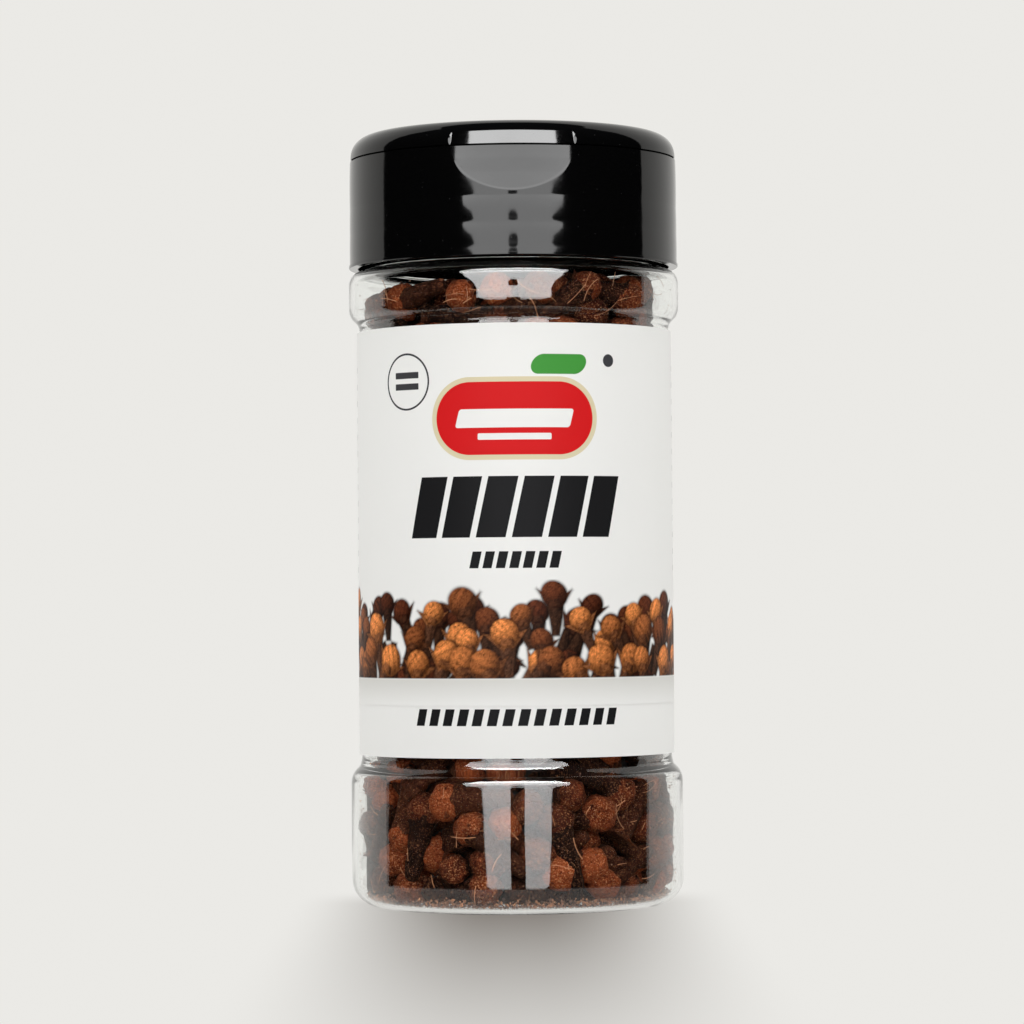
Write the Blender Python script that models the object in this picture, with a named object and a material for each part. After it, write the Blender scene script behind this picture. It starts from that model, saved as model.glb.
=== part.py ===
"""A clear spice jar full of whole cloves, with a wrap-around label and a black flip-top cap.

Metres, +Z up. The origin is the centre of the jar's foot, on the surface that it stands on.
The jar, cap and label are turned about Z. The front, with the cap's thumb scoop, faces -Y.
"""

import math
import random

import bmesh
import bpy
from mathutils import Matrix, Vector

SEGMENTS = 48
TINY = 1e-6

# Jar: outer radii, with the height at which each shape starts or ends
BULGE_RADIUS = 0.0240
PANEL_RADIUS = 0.0224
SHOULDER_RADIUS = 0.02388
NECK_RADIUS = 0.0206
FOOT_ROUND = 0.0040
FOOT_INNER_RADIUS = 0.0176
PUSH_UP = 0.0002
BULGE_TOP = 0.0191
PANEL_FLOOR = 0.0203
PANEL_CEILING = 0.0838
SHOULDER_FLOOR = 0.0852
SHOULDER_TOP = 0.09175
MOUTH_HEIGHT = 0.1058
WALL = 0.00085
BASE_THICKNESS = 0.0005

# Label: a sleeve of film round the panel
LABEL_GAP = 0.00015
LABEL_THICKNESS = 0.00022
LABEL_BOTTOM = 0.0219
LABEL_TOP = 0.0827

# Cap: a skirt with a deck, two flaps on the deck and the bar between them
CAP_TOP_RADIUS = 0.02365
CAP_FOOT_RADIUS = 0.02376
CAP_RIM_RADIUS = 0.02386
CAP_WALL = 0.0013
CAP_BOTTOM = 0.0921
CAP_HEIGHT = 0.1115
SEAM_HEIGHT = 0.10745
SEAM_GAP = 0.0003
DECK_THICKNESS = 0.00125
LID_ROUND = 0.0032
CROWN_RADIUS = 0.0125
CROWN_RISE = 0.0003
BAR_HALF_WIDTH = 0.0036

# Thumb scoop in the skirt, and the lip above it in each flap
SCOOP_HALF_WIDTH = 0.00875
SCOOP_HEIGHT = 0.0064
SCOOP_DEPTH = 0.00066
LIP_HALF_WIDTH = 0.0089
LIP_HEIGHT = 0.0016
LIP_INSET = 0.0005
LIP_SLOPE = 0.25

# Cloves: true size of one, and how the heap is packed
STEM_LENGTH = 0.0094
STEM_TAIL_RADIUS = 0.0010
STEM_NECK_RADIUS = 0.0017
CALYX_RADIUS = 0.0026
HEAD_RADIUS = 0.0025
WALL_CLEARANCE = 0.00035
CORE_INSET = 0.0034
HEAP_TOP = 0.0893
LOWER_ROWS = (0.0042, 0.0084, 0.0127, 0.0172, 0.0214)
UPPER_ROWS = (0.0836, 0.0879)
CLOVES_PER_ROW = 11


def clear_scene():
    """Removes whatever the start-up scene holds."""
    for obj in list(bpy.data.objects):
        bpy.data.objects.remove(obj, do_unlink=True)


def plastic(name, colour, roughness, alpha=1.0):
    """A Principled material of one colour."""
    material = bpy.data.materials.new(name)
    material.use_nodes = True
    shader = material.node_tree.nodes["Principled BSDF"]
    shader.inputs["Base Color"].default_value = (*colour, 1.0)
    shader.inputs["Roughness"].default_value = roughness
    shader.inputs["Metallic"].default_value = 0.0
    shader.inputs["Alpha"].default_value = alpha
    return material


def add_object(name, mesh, material=None):
    """Links a mesh to the scene as an object."""
    obj = bpy.data.objects.new(name, mesh)
    bpy.context.scene.collection.objects.link(obj)
    if material:
        mesh.materials.append(material)
    return obj


def from_bmesh(name, bm, material=None, smooth=True):
    """Makes an object from a bmesh and frees the bmesh."""
    mesh = bpy.data.meshes.new(name)
    bmesh.ops.recalc_face_normals(bm, faces=bm.faces)
    bm.to_mesh(mesh)
    bm.free()
    if smooth:
        mesh.shade_smooth()
        mesh.set_sharp_from_angle(angle=math.radians(35))
    return add_object(name, mesh, material)


def rounded_outline(corners, arc_step=math.radians(30)):
    """Points of an outline through (radius, height, fillet) corners, each fillet as an arc."""
    points = []
    for i, (r, z, fillet) in enumerate(corners):
        corner = Vector((r, z))
        if not fillet or i in (0, len(corners) - 1):
            points.append(corner)
            continue
        back = (Vector(corners[i - 1][:2]) - corner).normalized()
        ahead = (Vector(corners[i + 1][:2]) - corner).normalized()
        opening = back.angle(ahead)
        reach = fillet / math.tan(opening / 2)
        centre = corner + (back + ahead).normalized() * (fillet / math.sin(opening / 2))
        start = corner + back * reach - centre
        turn = start.angle_signed(corner + ahead * reach - centre)
        steps = max(2, round(abs(turn) / arc_step))
        for k in range(steps + 1):
            points.append(centre + Matrix.Rotation(-turn * k / steps, 2) @ start)
    return points


def turned(name, corners, material=None):
    """A solid turned about Z from a closed outline of (radius, height, fillet) corners."""
    bm = bmesh.new()
    points = rounded_outline(corners)
    verts = [bm.verts.new((p.x, 0.0, p.y)) for p in points]
    edges = [bm.edges.new(pair) for pair in zip(verts, verts[1:])]
    if points[0].x > TINY:
        edges.append(bm.edges.new((verts[-1], verts[0])))
    bmesh.ops.spin(
        bm, geom=verts + edges, axis=(0, 0, 1), cent=(0, 0, 0), steps=SEGMENTS, angle=math.tau
    )
    bmesh.ops.remove_doubles(bm, verts=bm.verts, dist=TINY)
    return from_bmesh(name, bm, material)


def sliced(source, name, planes, material=None):
    """A copy of a turned solid, cut flat by (point, outward normal) planes and closed there."""
    bm = bmesh.new()
    bm.from_mesh(source.data)
    for point, normal in planes:
        cut = bmesh.ops.bisect_plane(
            bm,
            geom=bm.verts[:] + bm.edges[:] + bm.faces[:],
            plane_co=point,
            plane_no=normal,
            clear_outer=True,
        )
        rim = [part for part in cut["geom_cut"] if isinstance(part, bmesh.types.BMEdge)]
        bmesh.ops.contextual_create(bm, geom=rim)
    return from_bmesh(name, bm, material)


def grid_block(name, rows):
    """A closed block from a grid of back points, each with the front point that faces it."""
    bm = bmesh.new()
    back = [[bm.verts.new(b) for b, _ in row] for row in rows]
    front = [[bm.verts.new(f) for _, f in row] for row in rows]
    last_row = len(rows) - 1
    last_column = len(rows[0]) - 1
    for i in range(last_row):
        for j in range(last_column):
            bm.faces.new((back[i][j], back[i][j + 1], back[i + 1][j + 1], back[i + 1][j]))
            bm.faces.new((front[i][j], front[i + 1][j], front[i + 1][j + 1], front[i][j + 1]))
    for j in range(last_column):
        for i in (0, last_row):
            bm.faces.new((back[i][j], back[i][j + 1], front[i][j + 1], front[i][j]))
    for i in range(last_row):
        for j in (0, last_column):
            bm.faces.new((back[i][j], back[i + 1][j], front[i + 1][j], front[i][j]))
    bmesh.ops.triangulate(bm, faces=bm.faces)
    block = from_bmesh(name, bm)
    block.hide_render = True
    block.display_type = "WIRE"
    return block


def apply_boolean(target, operation, operand=None, collection=None, solver="EXACT"):
    """Applies one Boolean to the target's mesh and removes what it was made with."""
    modifier = target.modifiers.new("boolean", "BOOLEAN")
    modifier.operation = operation
    modifier.solver = solver
    if collection:
        modifier.operand_type = "COLLECTION"
        modifier.collection = collection
        used = list(collection.objects)
    else:
        modifier.object = operand
        used = [operand]
    graph = bpy.context.evaluated_depsgraph_get()
    joined = bpy.data.meshes.new_from_object(target.evaluated_get(graph))
    target.modifiers.clear()
    target.data = joined
    for obj in used:
        bpy.data.objects.remove(obj, do_unlink=True)
    return target


# Jar


def jar_inner_corners():
    """The inside of the jar, from the mouth down to the middle of its floor."""
    roof = SHOULDER_TOP - WALL
    floor = PUSH_UP + BASE_THICKNESS
    return [
        (NECK_RADIUS - 0.0011, MOUTH_HEIGHT, 0.0),
        (NECK_RADIUS - 0.0011, roof, 0.0004),
        (SHOULDER_RADIUS - WALL, roof, 0.0013),
        (SHOULDER_RADIUS - WALL, SHOULDER_FLOOR + 0.0003, 0.0016),
        (PANEL_RADIUS - WALL, PANEL_CEILING + 0.0003, 0.0016),
        (PANEL_RADIUS - WALL, PANEL_FLOOR - 0.0003, 0.0012),
        (BULGE_RADIUS - WALL, BULGE_TOP - 0.0003, 0.0014),
        (BULGE_RADIUS - WALL, floor, FOOT_ROUND - WALL),
        (0.0, floor, 0.0),
    ]


def make_jar(material):
    """The clear jar: foot, bulge, label panel, shoulder and neck, open at the mouth."""
    outer = [
        (0.0, PUSH_UP, 0.0),
        (FOOT_INNER_RADIUS - 0.0010, PUSH_UP, 0.0),
        (FOOT_INNER_RADIUS, 0.0, 0.0),
        (BULGE_RADIUS, 0.0, FOOT_ROUND),
        (BULGE_RADIUS, BULGE_TOP, 0.0022),
        (PANEL_RADIUS, PANEL_FLOOR, 0.0016),
        (PANEL_RADIUS, PANEL_CEILING, 0.0018),
        (SHOULDER_RADIUS, SHOULDER_FLOOR, 0.0024),
        (SHOULDER_RADIUS, SHOULDER_TOP, 0.0021),
        (NECK_RADIUS, SHOULDER_TOP, 0.0),
        (NECK_RADIUS, MOUTH_HEIGHT, 0.0),
    ]
    return turned("bottle", outer + jar_inner_corners(), material)


def inner_radius(height, inner=None):
    """Radius of the jar's inside at a height, read along its inner outline."""
    points = inner or rounded_outline(jar_inner_corners())
    for high, low in zip(points, points[1:]):
        if low.y <= height <= high.y and high.y - low.y > TINY:
            share = (height - low.y) / (high.y - low.y)
            return low.x + (high.x - low.x) * share
    return 0.0


def make_label(material):
    """The label sleeve, which stays just clear of the panel."""
    inside = PANEL_RADIUS + LABEL_GAP
    outside = inside + LABEL_THICKNESS
    corners = [
        (inside, LABEL_BOTTOM, 0.0),
        (outside, LABEL_BOTTOM, 0.0),
        (outside, LABEL_TOP, 0.0),
        (inside, LABEL_TOP, 0.0),
    ]
    return turned("label", corners, material)


# Cap


def half_turn(point, turns):
    """The point turned about Z by that many half turns."""
    return Matrix.Rotation(math.pi * turns, 3, "Z") @ Vector(point)


def scoop_cutter(side):
    """Cuts the shallow oval thumb scoop under a flap: side 0 is the front, 1 the back."""
    columns = 16
    levels = 10
    reach = 1.12
    rows = []
    for i in range(levels + 1):
        height = SCOOP_HEIGHT * (reach - (reach + 0.15) * i / levels)
        row = []
        for j in range(columns + 1):
            x = SCOOP_HALF_WIDTH * reach * (2 * j / columns - 1)
            oval = (x / SCOOP_HALF_WIDTH) ** 2 + (max(height, 0.0) / SCOOP_HEIGHT) ** 2
            surface = math.sqrt(CAP_TOP_RADIUS**2 - x**2) - SCOOP_DEPTH * (1 - oval)
            z = SEAM_HEIGHT - height
            back = half_turn((x, -surface, z), side)
            front = half_turn((x, -CAP_RIM_RADIUS - 0.002, z), side)
            row.append((back, front))
        rows.append(row)
    return grid_block(f"scoop_cutter_{side}", rows)


def lip_cutter():
    """Cuts the sloping finger lip into the foot of the front flap's edge."""
    columns = 10
    half_angle = math.asin(LIP_HALF_WIDTH / CAP_TOP_RADIUS)
    rows = []
    for level in (-0.4, 1.0):
        row = []
        for j in range(columns + 1):
            share = 2 * j / columns - 1
            angle = half_angle * share
            top = LIP_HEIGHT * (1 - 0.25 * share**2)
            z = SEAM_HEIGHT + SEAM_GAP + top * level
            radius = CAP_TOP_RADIUS - LIP_INSET - LIP_SLOPE * top * level
            direction = Vector((math.sin(angle), -math.cos(angle), 0.0))
            back = direction * radius + Vector((0, 0, z))
            front = direction * (CAP_TOP_RADIUS + 0.002) + Vector((0, 0, z))
            row.append((back, front))
        rows.append(row)
    return grid_block("lip_cutter", rows)


def make_cap(material):
    """The skirt with its deck, the bar between the flaps, and a thumb scoop on both sides."""
    under_deck = SEAM_HEIGHT - DECK_THICKNESS
    skirt_corners = [
        (0.0, SEAM_HEIGHT, 0.0),
        (CAP_TOP_RADIUS, SEAM_HEIGHT, 0.0),
        (CAP_FOOT_RADIUS, CAP_BOTTOM + 0.0006, 0.0),
        (CAP_RIM_RADIUS, CAP_BOTTOM + 0.0004, 0.0),
        (CAP_RIM_RADIUS, CAP_BOTTOM, 0.0),
        (CAP_RIM_RADIUS - CAP_WALL, CAP_BOTTOM, 0.0),
        (CAP_TOP_RADIUS - CAP_WALL, under_deck, 0.0),
        (0.0, under_deck, 0.0),
    ]
    cap = turned("cap", skirt_corners, material)
    bar_radius = CAP_TOP_RADIUS - 0.0001
    blank_corners = [
        (0.0, CAP_HEIGHT, 0.0),
        (CROWN_RADIUS, CAP_HEIGHT, 0.0),
        (bar_radius, CAP_HEIGHT - CROWN_RISE, LID_ROUND),
        (bar_radius, SEAM_HEIGHT - DECK_THICKNESS / 2, 0.0),
        (0.0, SEAM_HEIGHT - DECK_THICKNESS / 2, 0.0),
    ]
    blank = turned("bar_blank", blank_corners)
    planes = [((0, side * BAR_HALF_WIDTH, 0), (0, side, 0)) for side in (-1, 1)]
    bar = sliced(blank, "bar", planes)
    bpy.data.objects.remove(blank, do_unlink=True)
    apply_boolean(cap, "UNION", bar)
    for side in (0, 1):
        apply_boolean(cap, "DIFFERENCE", scoop_cutter(side))
    return cap


def make_flaps(material):
    """The two flaps that close the deck, each half of the lid less the bar's width."""
    lid_corners = [
        (0.0, CAP_HEIGHT, 0.0),
        (CROWN_RADIUS, CAP_HEIGHT, 0.0),
        (CAP_TOP_RADIUS, CAP_HEIGHT - CROWN_RISE, LID_ROUND),
        (CAP_TOP_RADIUS, SEAM_HEIGHT + SEAM_GAP, 0.0),
        (0.0, SEAM_HEIGHT + SEAM_GAP, 0.0),
    ]
    lid = turned("lid_blank", lid_corners)
    apply_boolean(lid, "DIFFERENCE", lip_cutter())
    edge = BAR_HALF_WIDTH + SEAM_GAP
    front = sliced(lid, "flap_front", [((0, -edge, 0), (0, 1, 0))], material)
    bpy.data.objects.remove(lid, do_unlink=True)
    back = add_object("flap_back", front.data.copy())
    back.rotation_euler = (0, 0, math.pi)


# Cloves


def clove_mesh(size):
    """One clove with few sides, its middle at the origin and its head towards +Z."""
    sides = 6
    tip = STEM_LENGTH / 2
    outline = (
        (STEM_TAIL_RADIUS, -tip),
        (STEM_NECK_RADIUS, tip * 0.55),
        (CALYX_RADIUS, tip + 0.0012),
        (HEAD_RADIUS * 0.86, tip + 0.0018),
        (HEAD_RADIUS, tip + 0.0030),
        (HEAD_RADIUS * 0.62, tip + 0.0044),
    )
    bm = bmesh.new()
    rings = []
    for radius, height in outline:
        ring = []
        for k in range(sides):
            angle = math.tau * k / sides
            spot = Vector((math.cos(angle) * radius, math.sin(angle) * radius, height))
            ring.append(bm.verts.new(spot * size))
        rings.append(ring)
    for low, high in zip(rings, rings[1:]):
        for k in range(sides):
            after = (k + 1) % sides
            bm.faces.new((low[k], low[after], high[after], high[k]))
    bm.faces.new(list(reversed(rings[0])))
    bm.faces.new(rings[-1])
    mesh = bpy.data.meshes.new("clove")
    bmesh.ops.triangulate(bm, faces=bm.faces)
    bmesh.ops.recalc_face_normals(bm, faces=bm.faces)
    bm.to_mesh(mesh)
    bm.free()
    return mesh


def clove_turn(draw, azimuth):
    """How a clove lies at an azimuth: one in three shows its head, the others lie on the wall."""
    outward = Vector((math.cos(azimuth), math.sin(azimuth), 0.0))
    along = Vector((-math.sin(azimuth), math.cos(azimuth), 0.0))
    lean = draw.uniform(0, math.tau)
    flat = along * math.cos(lean) + Vector((0, 0, 1)) * math.sin(lean)
    lift = draw.uniform(0.75, 1.0) if draw.random() < 0.36 else draw.uniform(-0.25, 0.3)
    axis = (outward * lift + flat * math.sqrt(1 - lift**2)).normalized()
    roll = Matrix.Rotation(draw.uniform(0, math.tau), 3, "Z")
    return axis.to_track_quat("Z", "Y").to_matrix() @ roll


def settle(points, azimuth, inner):
    """The shift that brings turned clove points against the wall, clear of floor and roof."""
    outward = Vector((math.cos(azimuth), math.sin(azimuth), 0.0))
    floor = PUSH_UP + BASE_THICKNESS + WALL_CLEARANCE
    roof = SHOULDER_TOP - WALL - WALL_CLEARANCE
    low = min(p.z for p in points)
    high = max(p.z for p in points)
    shift = Vector((0, 0, max(0.0, floor - low) - max(0.0, high - roof)))
    shift += outward * 0.004
    for _ in range(60):
        over = max(
            Vector(((p + shift).x, (p + shift).y)).length
            - (inner_radius((p + shift).z, inner) - WALL_CLEARANCE)
            for p in points
        )
        if over <= 0:
            break
        shift -= outward * (over + 0.00002)
    return shift


def make_core():
    """The smaller heap under the cloves, uneven on top."""
    lower = BULGE_RADIUS - WALL - CORE_INSET
    middle = PANEL_RADIUS - WALL - 0.0012
    upper = SHOULDER_RADIUS - WALL - CORE_INSET
    label_low = LABEL_BOTTOM + 0.002
    label_high = LABEL_TOP - 0.002
    floor = PUSH_UP + BASE_THICKNESS + 0.0012
    corners = [
        (0.0, floor, 0.0),
        (lower, floor, 0.0012),
        (lower, label_low, 0.0),
        (middle, label_low + 0.0015, 0.0),
        (middle, label_high - 0.0015, 0.0),
        (upper, label_high, 0.0),
        (upper, HEAP_TOP - 0.0015, 0.0),
        (upper * 0.6, HEAP_TOP, 0.0),
        (0.0, HEAP_TOP - 0.0006, 0.0),
    ]
    return turned("cloves", corners)


def outer_shell_only(obj):
    """Keeps the largest closed shell: fills what fusing sealed in and drops loose scraps."""
    bm = bmesh.new()
    bm.from_mesh(obj.data)
    bm.verts.ensure_lookup_table()
    left = set(bm.verts)
    shells = []
    while left:
        seed = left.pop()
        shell = {seed}
        edge_of = [seed]
        while edge_of:
            vert = edge_of.pop()
            for edge in vert.link_edges:
                other = edge.other_vert(vert)
                if other in left:
                    left.discard(other)
                    shell.add(other)
                    edge_of.append(other)
        shells.append(shell)
    shells.sort(key=len)
    for shell in shells[:-1]:
        bmesh.ops.delete(bm, geom=list(shell), context="VERTS")
    bm.to_mesh(obj.data)
    bm.free()


def make_cloves(material):
    """The heap of cloves: a core with every clove that shows fused on, in one solid."""
    draw = random.Random(7)
    heap = make_core()
    collection = bpy.data.collections.new("loose_cloves")
    bpy.context.scene.collection.children.link(collection)
    inner = rounded_outline(jar_inner_corners())
    count = 0
    for height in LOWER_ROWS + UPPER_ROWS:
        for k in range(CLOVES_PER_ROW):
            azimuth = math.tau * k / CLOVES_PER_ROW + 0.29 * (count // CLOVES_PER_ROW)
            azimuth += draw.uniform(-0.12, 0.12)
            size = draw.uniform(0.88, 1.06)
            mesh = clove_mesh(size)
            turn = clove_turn(draw, azimuth)
            radius = inner_radius(min(height, LABEL_TOP), inner) - HEAD_RADIUS
            place = Vector((math.cos(azimuth) * radius, math.sin(azimuth) * radius, height))
            points = [place + turn @ v.co for v in mesh.vertices]
            shift = settle(points, azimuth, inner)
            clove = bpy.data.objects.new(f"clove_{count}", mesh)
            clove.matrix_world = Matrix.Translation(place + shift) @ turn.to_4x4()
            collection.objects.link(clove)
            count += 1
    bpy.context.view_layer.update()
    apply_boolean(heap, "UNION", collection=collection, solver="MANIFOLD")
    bpy.data.collections.remove(collection)
    outer_shell_only(heap)
    heap.data.materials.clear()
    heap.data.materials.append(material)


def main():
    clear_scene()
    clear_plastic = plastic("clear_plastic", (0.93, 0.95, 0.94), 0.05, 0.3)
    black_plastic = plastic("black_plastic", (0.012, 0.012, 0.013), 0.12)
    label_film = plastic("label_film", (0.86, 0.87, 0.88), 0.35)
    dried_clove = plastic("dried_clove", (0.16, 0.055, 0.025), 0.85)
    make_jar(clear_plastic)
    make_label(label_film)
    make_cap(black_plastic)
    make_flaps(black_plastic)
    make_cloves(dried_clove)


main()
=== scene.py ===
"""The looks of a clear spice jar full of whole cloves, with a printed label and a black flip-top cap.

Everything is in metres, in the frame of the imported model: +Z up, the front faces -Y.
"""

import logging
import math
import random
from collections.abc import Callable, Sequence
from dataclasses import dataclass, field, replace
from enum import Enum
from typing import Any

import bmesh
import bpy
import numpy as np
from mathutils import Euler, Matrix, Vector


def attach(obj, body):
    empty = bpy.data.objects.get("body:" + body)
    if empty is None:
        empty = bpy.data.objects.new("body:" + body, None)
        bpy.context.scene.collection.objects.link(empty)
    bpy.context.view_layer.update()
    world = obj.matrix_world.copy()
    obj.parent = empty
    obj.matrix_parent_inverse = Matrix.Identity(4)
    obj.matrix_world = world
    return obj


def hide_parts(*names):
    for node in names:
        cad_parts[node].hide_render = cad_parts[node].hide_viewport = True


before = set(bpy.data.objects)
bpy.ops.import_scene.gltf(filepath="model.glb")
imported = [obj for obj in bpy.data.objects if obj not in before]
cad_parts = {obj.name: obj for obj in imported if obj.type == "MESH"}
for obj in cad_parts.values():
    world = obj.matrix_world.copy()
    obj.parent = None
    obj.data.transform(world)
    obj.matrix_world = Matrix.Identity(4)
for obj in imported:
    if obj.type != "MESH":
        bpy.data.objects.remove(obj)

log = logging.getLogger("jar")

BODY = "root"
TINY = 1e-7
Corner = tuple[float, float, float]
Colour = tuple[float, float, float]
Triangle = tuple[int, int, int]
Form = tuple[np.ndarray, np.ndarray, np.ndarray, Colour]


# Shader tools


class Signal:
    """A value in a material. Arithmetic on it adds Math nodes."""

    def __init__(self, paint: "Paint", socket: bpy.types.NodeSocket) -> None:
        """Wraps one output socket of a paint."""
        self.paint = paint
        self.socket = socket

    def _math(self, operation: str, *others: "Signal | float") -> "Signal":
        """Adds a Math node that starts from this value."""
        return self.paint.math(operation, self, *others)

    def __add__(self, other: "Signal | float") -> "Signal":
        """This value plus another."""
        return self._math("ADD", other)

    def __radd__(self, other: float) -> "Signal":
        """A number plus this value."""
        return self._math("ADD", other)

    def __sub__(self, other: "Signal | float") -> "Signal":
        """This value less another."""
        return self._math("SUBTRACT", other)

    def __rsub__(self, other: float) -> "Signal":
        """A number less this value."""
        return self.paint.math("SUBTRACT", other, self)

    def __mul__(self, other: "Signal | float") -> "Signal":
        """This value times another."""
        return self._math("MULTIPLY", other)

    def __rmul__(self, other: float) -> "Signal":
        """A number times this value."""
        return self._math("MULTIPLY", other)

    def __truediv__(self, other: "Signal | float") -> "Signal":
        """This value divided by another."""
        return self._math("DIVIDE", other)

    def __rtruediv__(self, other: float) -> "Signal":
        """A number divided by this value."""
        return self.paint.math("DIVIDE", other, self)

    def __neg__(self) -> "Signal":
        """This value with its sign turned."""
        return self._math("MULTIPLY", -1.0)

    def __abs__(self) -> "Signal":
        """This value without its sign."""
        return self._math("ABSOLUTE")

    def least(self, other: "Signal | float") -> "Signal":
        """The lesser of two values."""
        return self._math("MINIMUM", other)

    def most(self, other: "Signal | float") -> "Signal":
        """The greater of two values."""
        return self._math("MAXIMUM", other)

    def fraction(self) -> "Signal":
        """What is left over a whole number."""
        return self._math("FRACT")

    def ramp(self, low: float, high: float) -> "Signal":
        """Goes smoothly from 0 at low to 1 at high; low may be the higher number.

        Args:
            low: The value at which the result is 0.
            high: The value at which the result is 1.

        Returns:
            The smooth step.
        """
        settings = {"interpolation_type": "SMOOTHSTEP"}
        inputs = {"Value": self, "From Min": low, "From Max": high}
        return self.paint.read(self.paint.node("ShaderNodeMapRange", settings, inputs), "Result")


class Paint:
    """One material and its node tree, made round a Principled shader."""

    def __init__(self, name: str) -> None:
        """Starts a material.

        Args:
            name: Its name.
        """
        self.material = bpy.data.materials.new(name)
        self.material.use_nodes = True
        self.tree = self.material.node_tree
        self.shader = self.tree.nodes["Principled BSDF"]
        self._place: Signal | None = None

    def node(
        self,
        kind: str,
        settings: dict[str, Any] | None = None,
        inputs: dict[str | int, Any] | None = None,
    ) -> bpy.types.Node:
        """Adds a node.

        Args:
            kind: The node's type.
            settings: Its properties, which are set first.
            inputs: A value or a link for each named or numbered socket.

        Returns:
            The new node.
        """
        made = self.tree.nodes.new(kind)
        for key, value in (settings or {}).items():
            setattr(made, key, value)
        for key, value in (inputs or {}).items():
            self.feed(made.inputs[key], value)
        return made

    def feed(self, socket: bpy.types.NodeSocket, value: Any) -> None:
        """Links or sets one input socket.

        Args:
            socket: The input.
            value: A Signal, an output socket, a number, a colour or a vector.
        """
        if isinstance(value, Signal):
            value = value.socket
        if isinstance(value, bpy.types.NodeSocket):
            self.tree.links.new(value, socket)
        elif socket.type == "RGBA" and len(value) == 3:
            socket.default_value = (*value, 1.0)
        else:
            socket.default_value = value

    def read(self, node: bpy.types.Node, output: str) -> Signal:
        """One output of a node as a value."""
        return Signal(self, node.outputs[output])

    def math(self, operation: str, *values: Signal | float) -> Signal:
        """Adds one Math node.

        Args:
            operation: The node's operation.
            *values: What feeds its sockets, in order.

        Returns:
            Its result.
        """
        made = self.node("ShaderNodeMath", {"operation": operation}, dict(enumerate(values)))
        return self.read(made, "Value")

    def blend(self, factor: Signal | float, under: Any, over: Any) -> bpy.types.NodeSocket:
        """Lays one colour on another.

        Args:
            factor: How much of it is laid.
            under: The colour below.
            over: The colour on top.

        Returns:
            The mixed colour's socket.
        """
        made = self.node("ShaderNodeMix", {"data_type": "RGBA"}, {0: factor, 6: under, 7: over})
        return made.outputs[2]

    def place(self) -> bpy.types.NodeSocket:
        """Finds the point of the surface in the object's own frame.

        Returns:
            The point's socket, one for the whole material.
        """
        if self._place is None:
            self._place = self.node("ShaderNodeTexCoord").outputs["Object"]
        return self._place

    def axes(self) -> tuple[Signal, Signal, Signal]:
        """Splits the point of the surface.

        Returns:
            Its x, y and z.
        """
        made = self.node("ShaderNodeSeparateXYZ", None, {0: self.place()})
        return self.read(made, "X"), self.read(made, "Y"), self.read(made, "Z")

    def noise(self, size: float, detail: float = 3.0, roughness: float = 0.55) -> Signal:
        """Cloudy noise.

        Args:
            size: How large its spots are, in metres.
            detail: How many finer layers it has.
            roughness: How strong those are.

        Returns:
            A value round 0.5.
        """
        inputs = {"Vector": self.place(), "Scale": 1 / size, "Detail": detail, "Roughness": roughness}
        made = self.node("ShaderNodeTexNoise", {"noise_dimensions": "3D"}, inputs)
        return self.read(made, "Fac")

    def grains(self, size: float) -> Signal:
        """Distance to the nearest of many scattered grains, in grain sizes."""
        inputs = {"Vector": self.place(), "Scale": 1 / size, "Randomness": 1.0}
        return self.read(self.node("ShaderNodeTexVoronoi", {"feature": "F1"}, inputs), "Distance")

    def stored(self, name: str, output: str = "Fac") -> Signal:
        """A value or colour stored on the mesh."""
        return self.read(self.node("ShaderNodeAttribute", {"attribute_name": name}), output)

    def raise_by(self, height: Signal, distance: float, strength: float = 1.0) -> None:
        """Feeds the shader's normal from a height.

        Args:
            height: The relief, from 0 to 1.
            distance: Its depth in metres.
            strength: How much of it shows.
        """
        inputs = {"Height": height, "Distance": distance, "Strength": strength}
        self.set(Normal=self.node("ShaderNodeBump", None, inputs).outputs["Normal"])

    def set(self, **values: Any) -> None:
        """Feeds the Principled shader, with each socket's name written with underscores."""
        for name, value in values.items():
            self.feed(self.shader.inputs[name.replace("_", " ")], value)


# Finishes


@dataclass(frozen=True)
class ClearPlastic:
    """Blown clear plastic: faint waves, fine scuffs, and light that passes to the contents."""

    tint: Colour = (0.975, 0.985, 0.975)
    shade: Colour = (0.93, 0.94, 0.93)
    ior: float = 1.56
    haze: float = 0.015
    wave_size: float = 0.011
    wave_depth: float = 0.00006

    def make(self) -> bpy.types.Material:
        """Makes the finish.

        Returns:
            The material.
        """
        paint = Paint("clear_plastic")
        scuff = paint.noise(0.0016, 5.0).ramp(0.60, 0.78)
        paint.set(
            Base_Color=self.tint,
            Transmission_Weight=1.0,
            IOR=self.ior,
            Roughness=self.haze + scuff * 0.05,
        )
        paint.raise_by(paint.noise(self.wave_size, 1.0), self.wave_depth)
        path = paint.read(paint.node("ShaderNodeLightPath"), "Is Shadow Ray")
        film = paint.node("ShaderNodeBsdfTransparent", None, {"Color": self.shade})
        inputs = {0: path, 1: paint.shader.outputs[0], 2: film.outputs[0]}
        both = paint.node("ShaderNodeMixShader", None, inputs)
        paint.tree.links.new(both.outputs[0], paint.tree.nodes["Material Output"].inputs["Surface"])
        return paint.material


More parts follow.
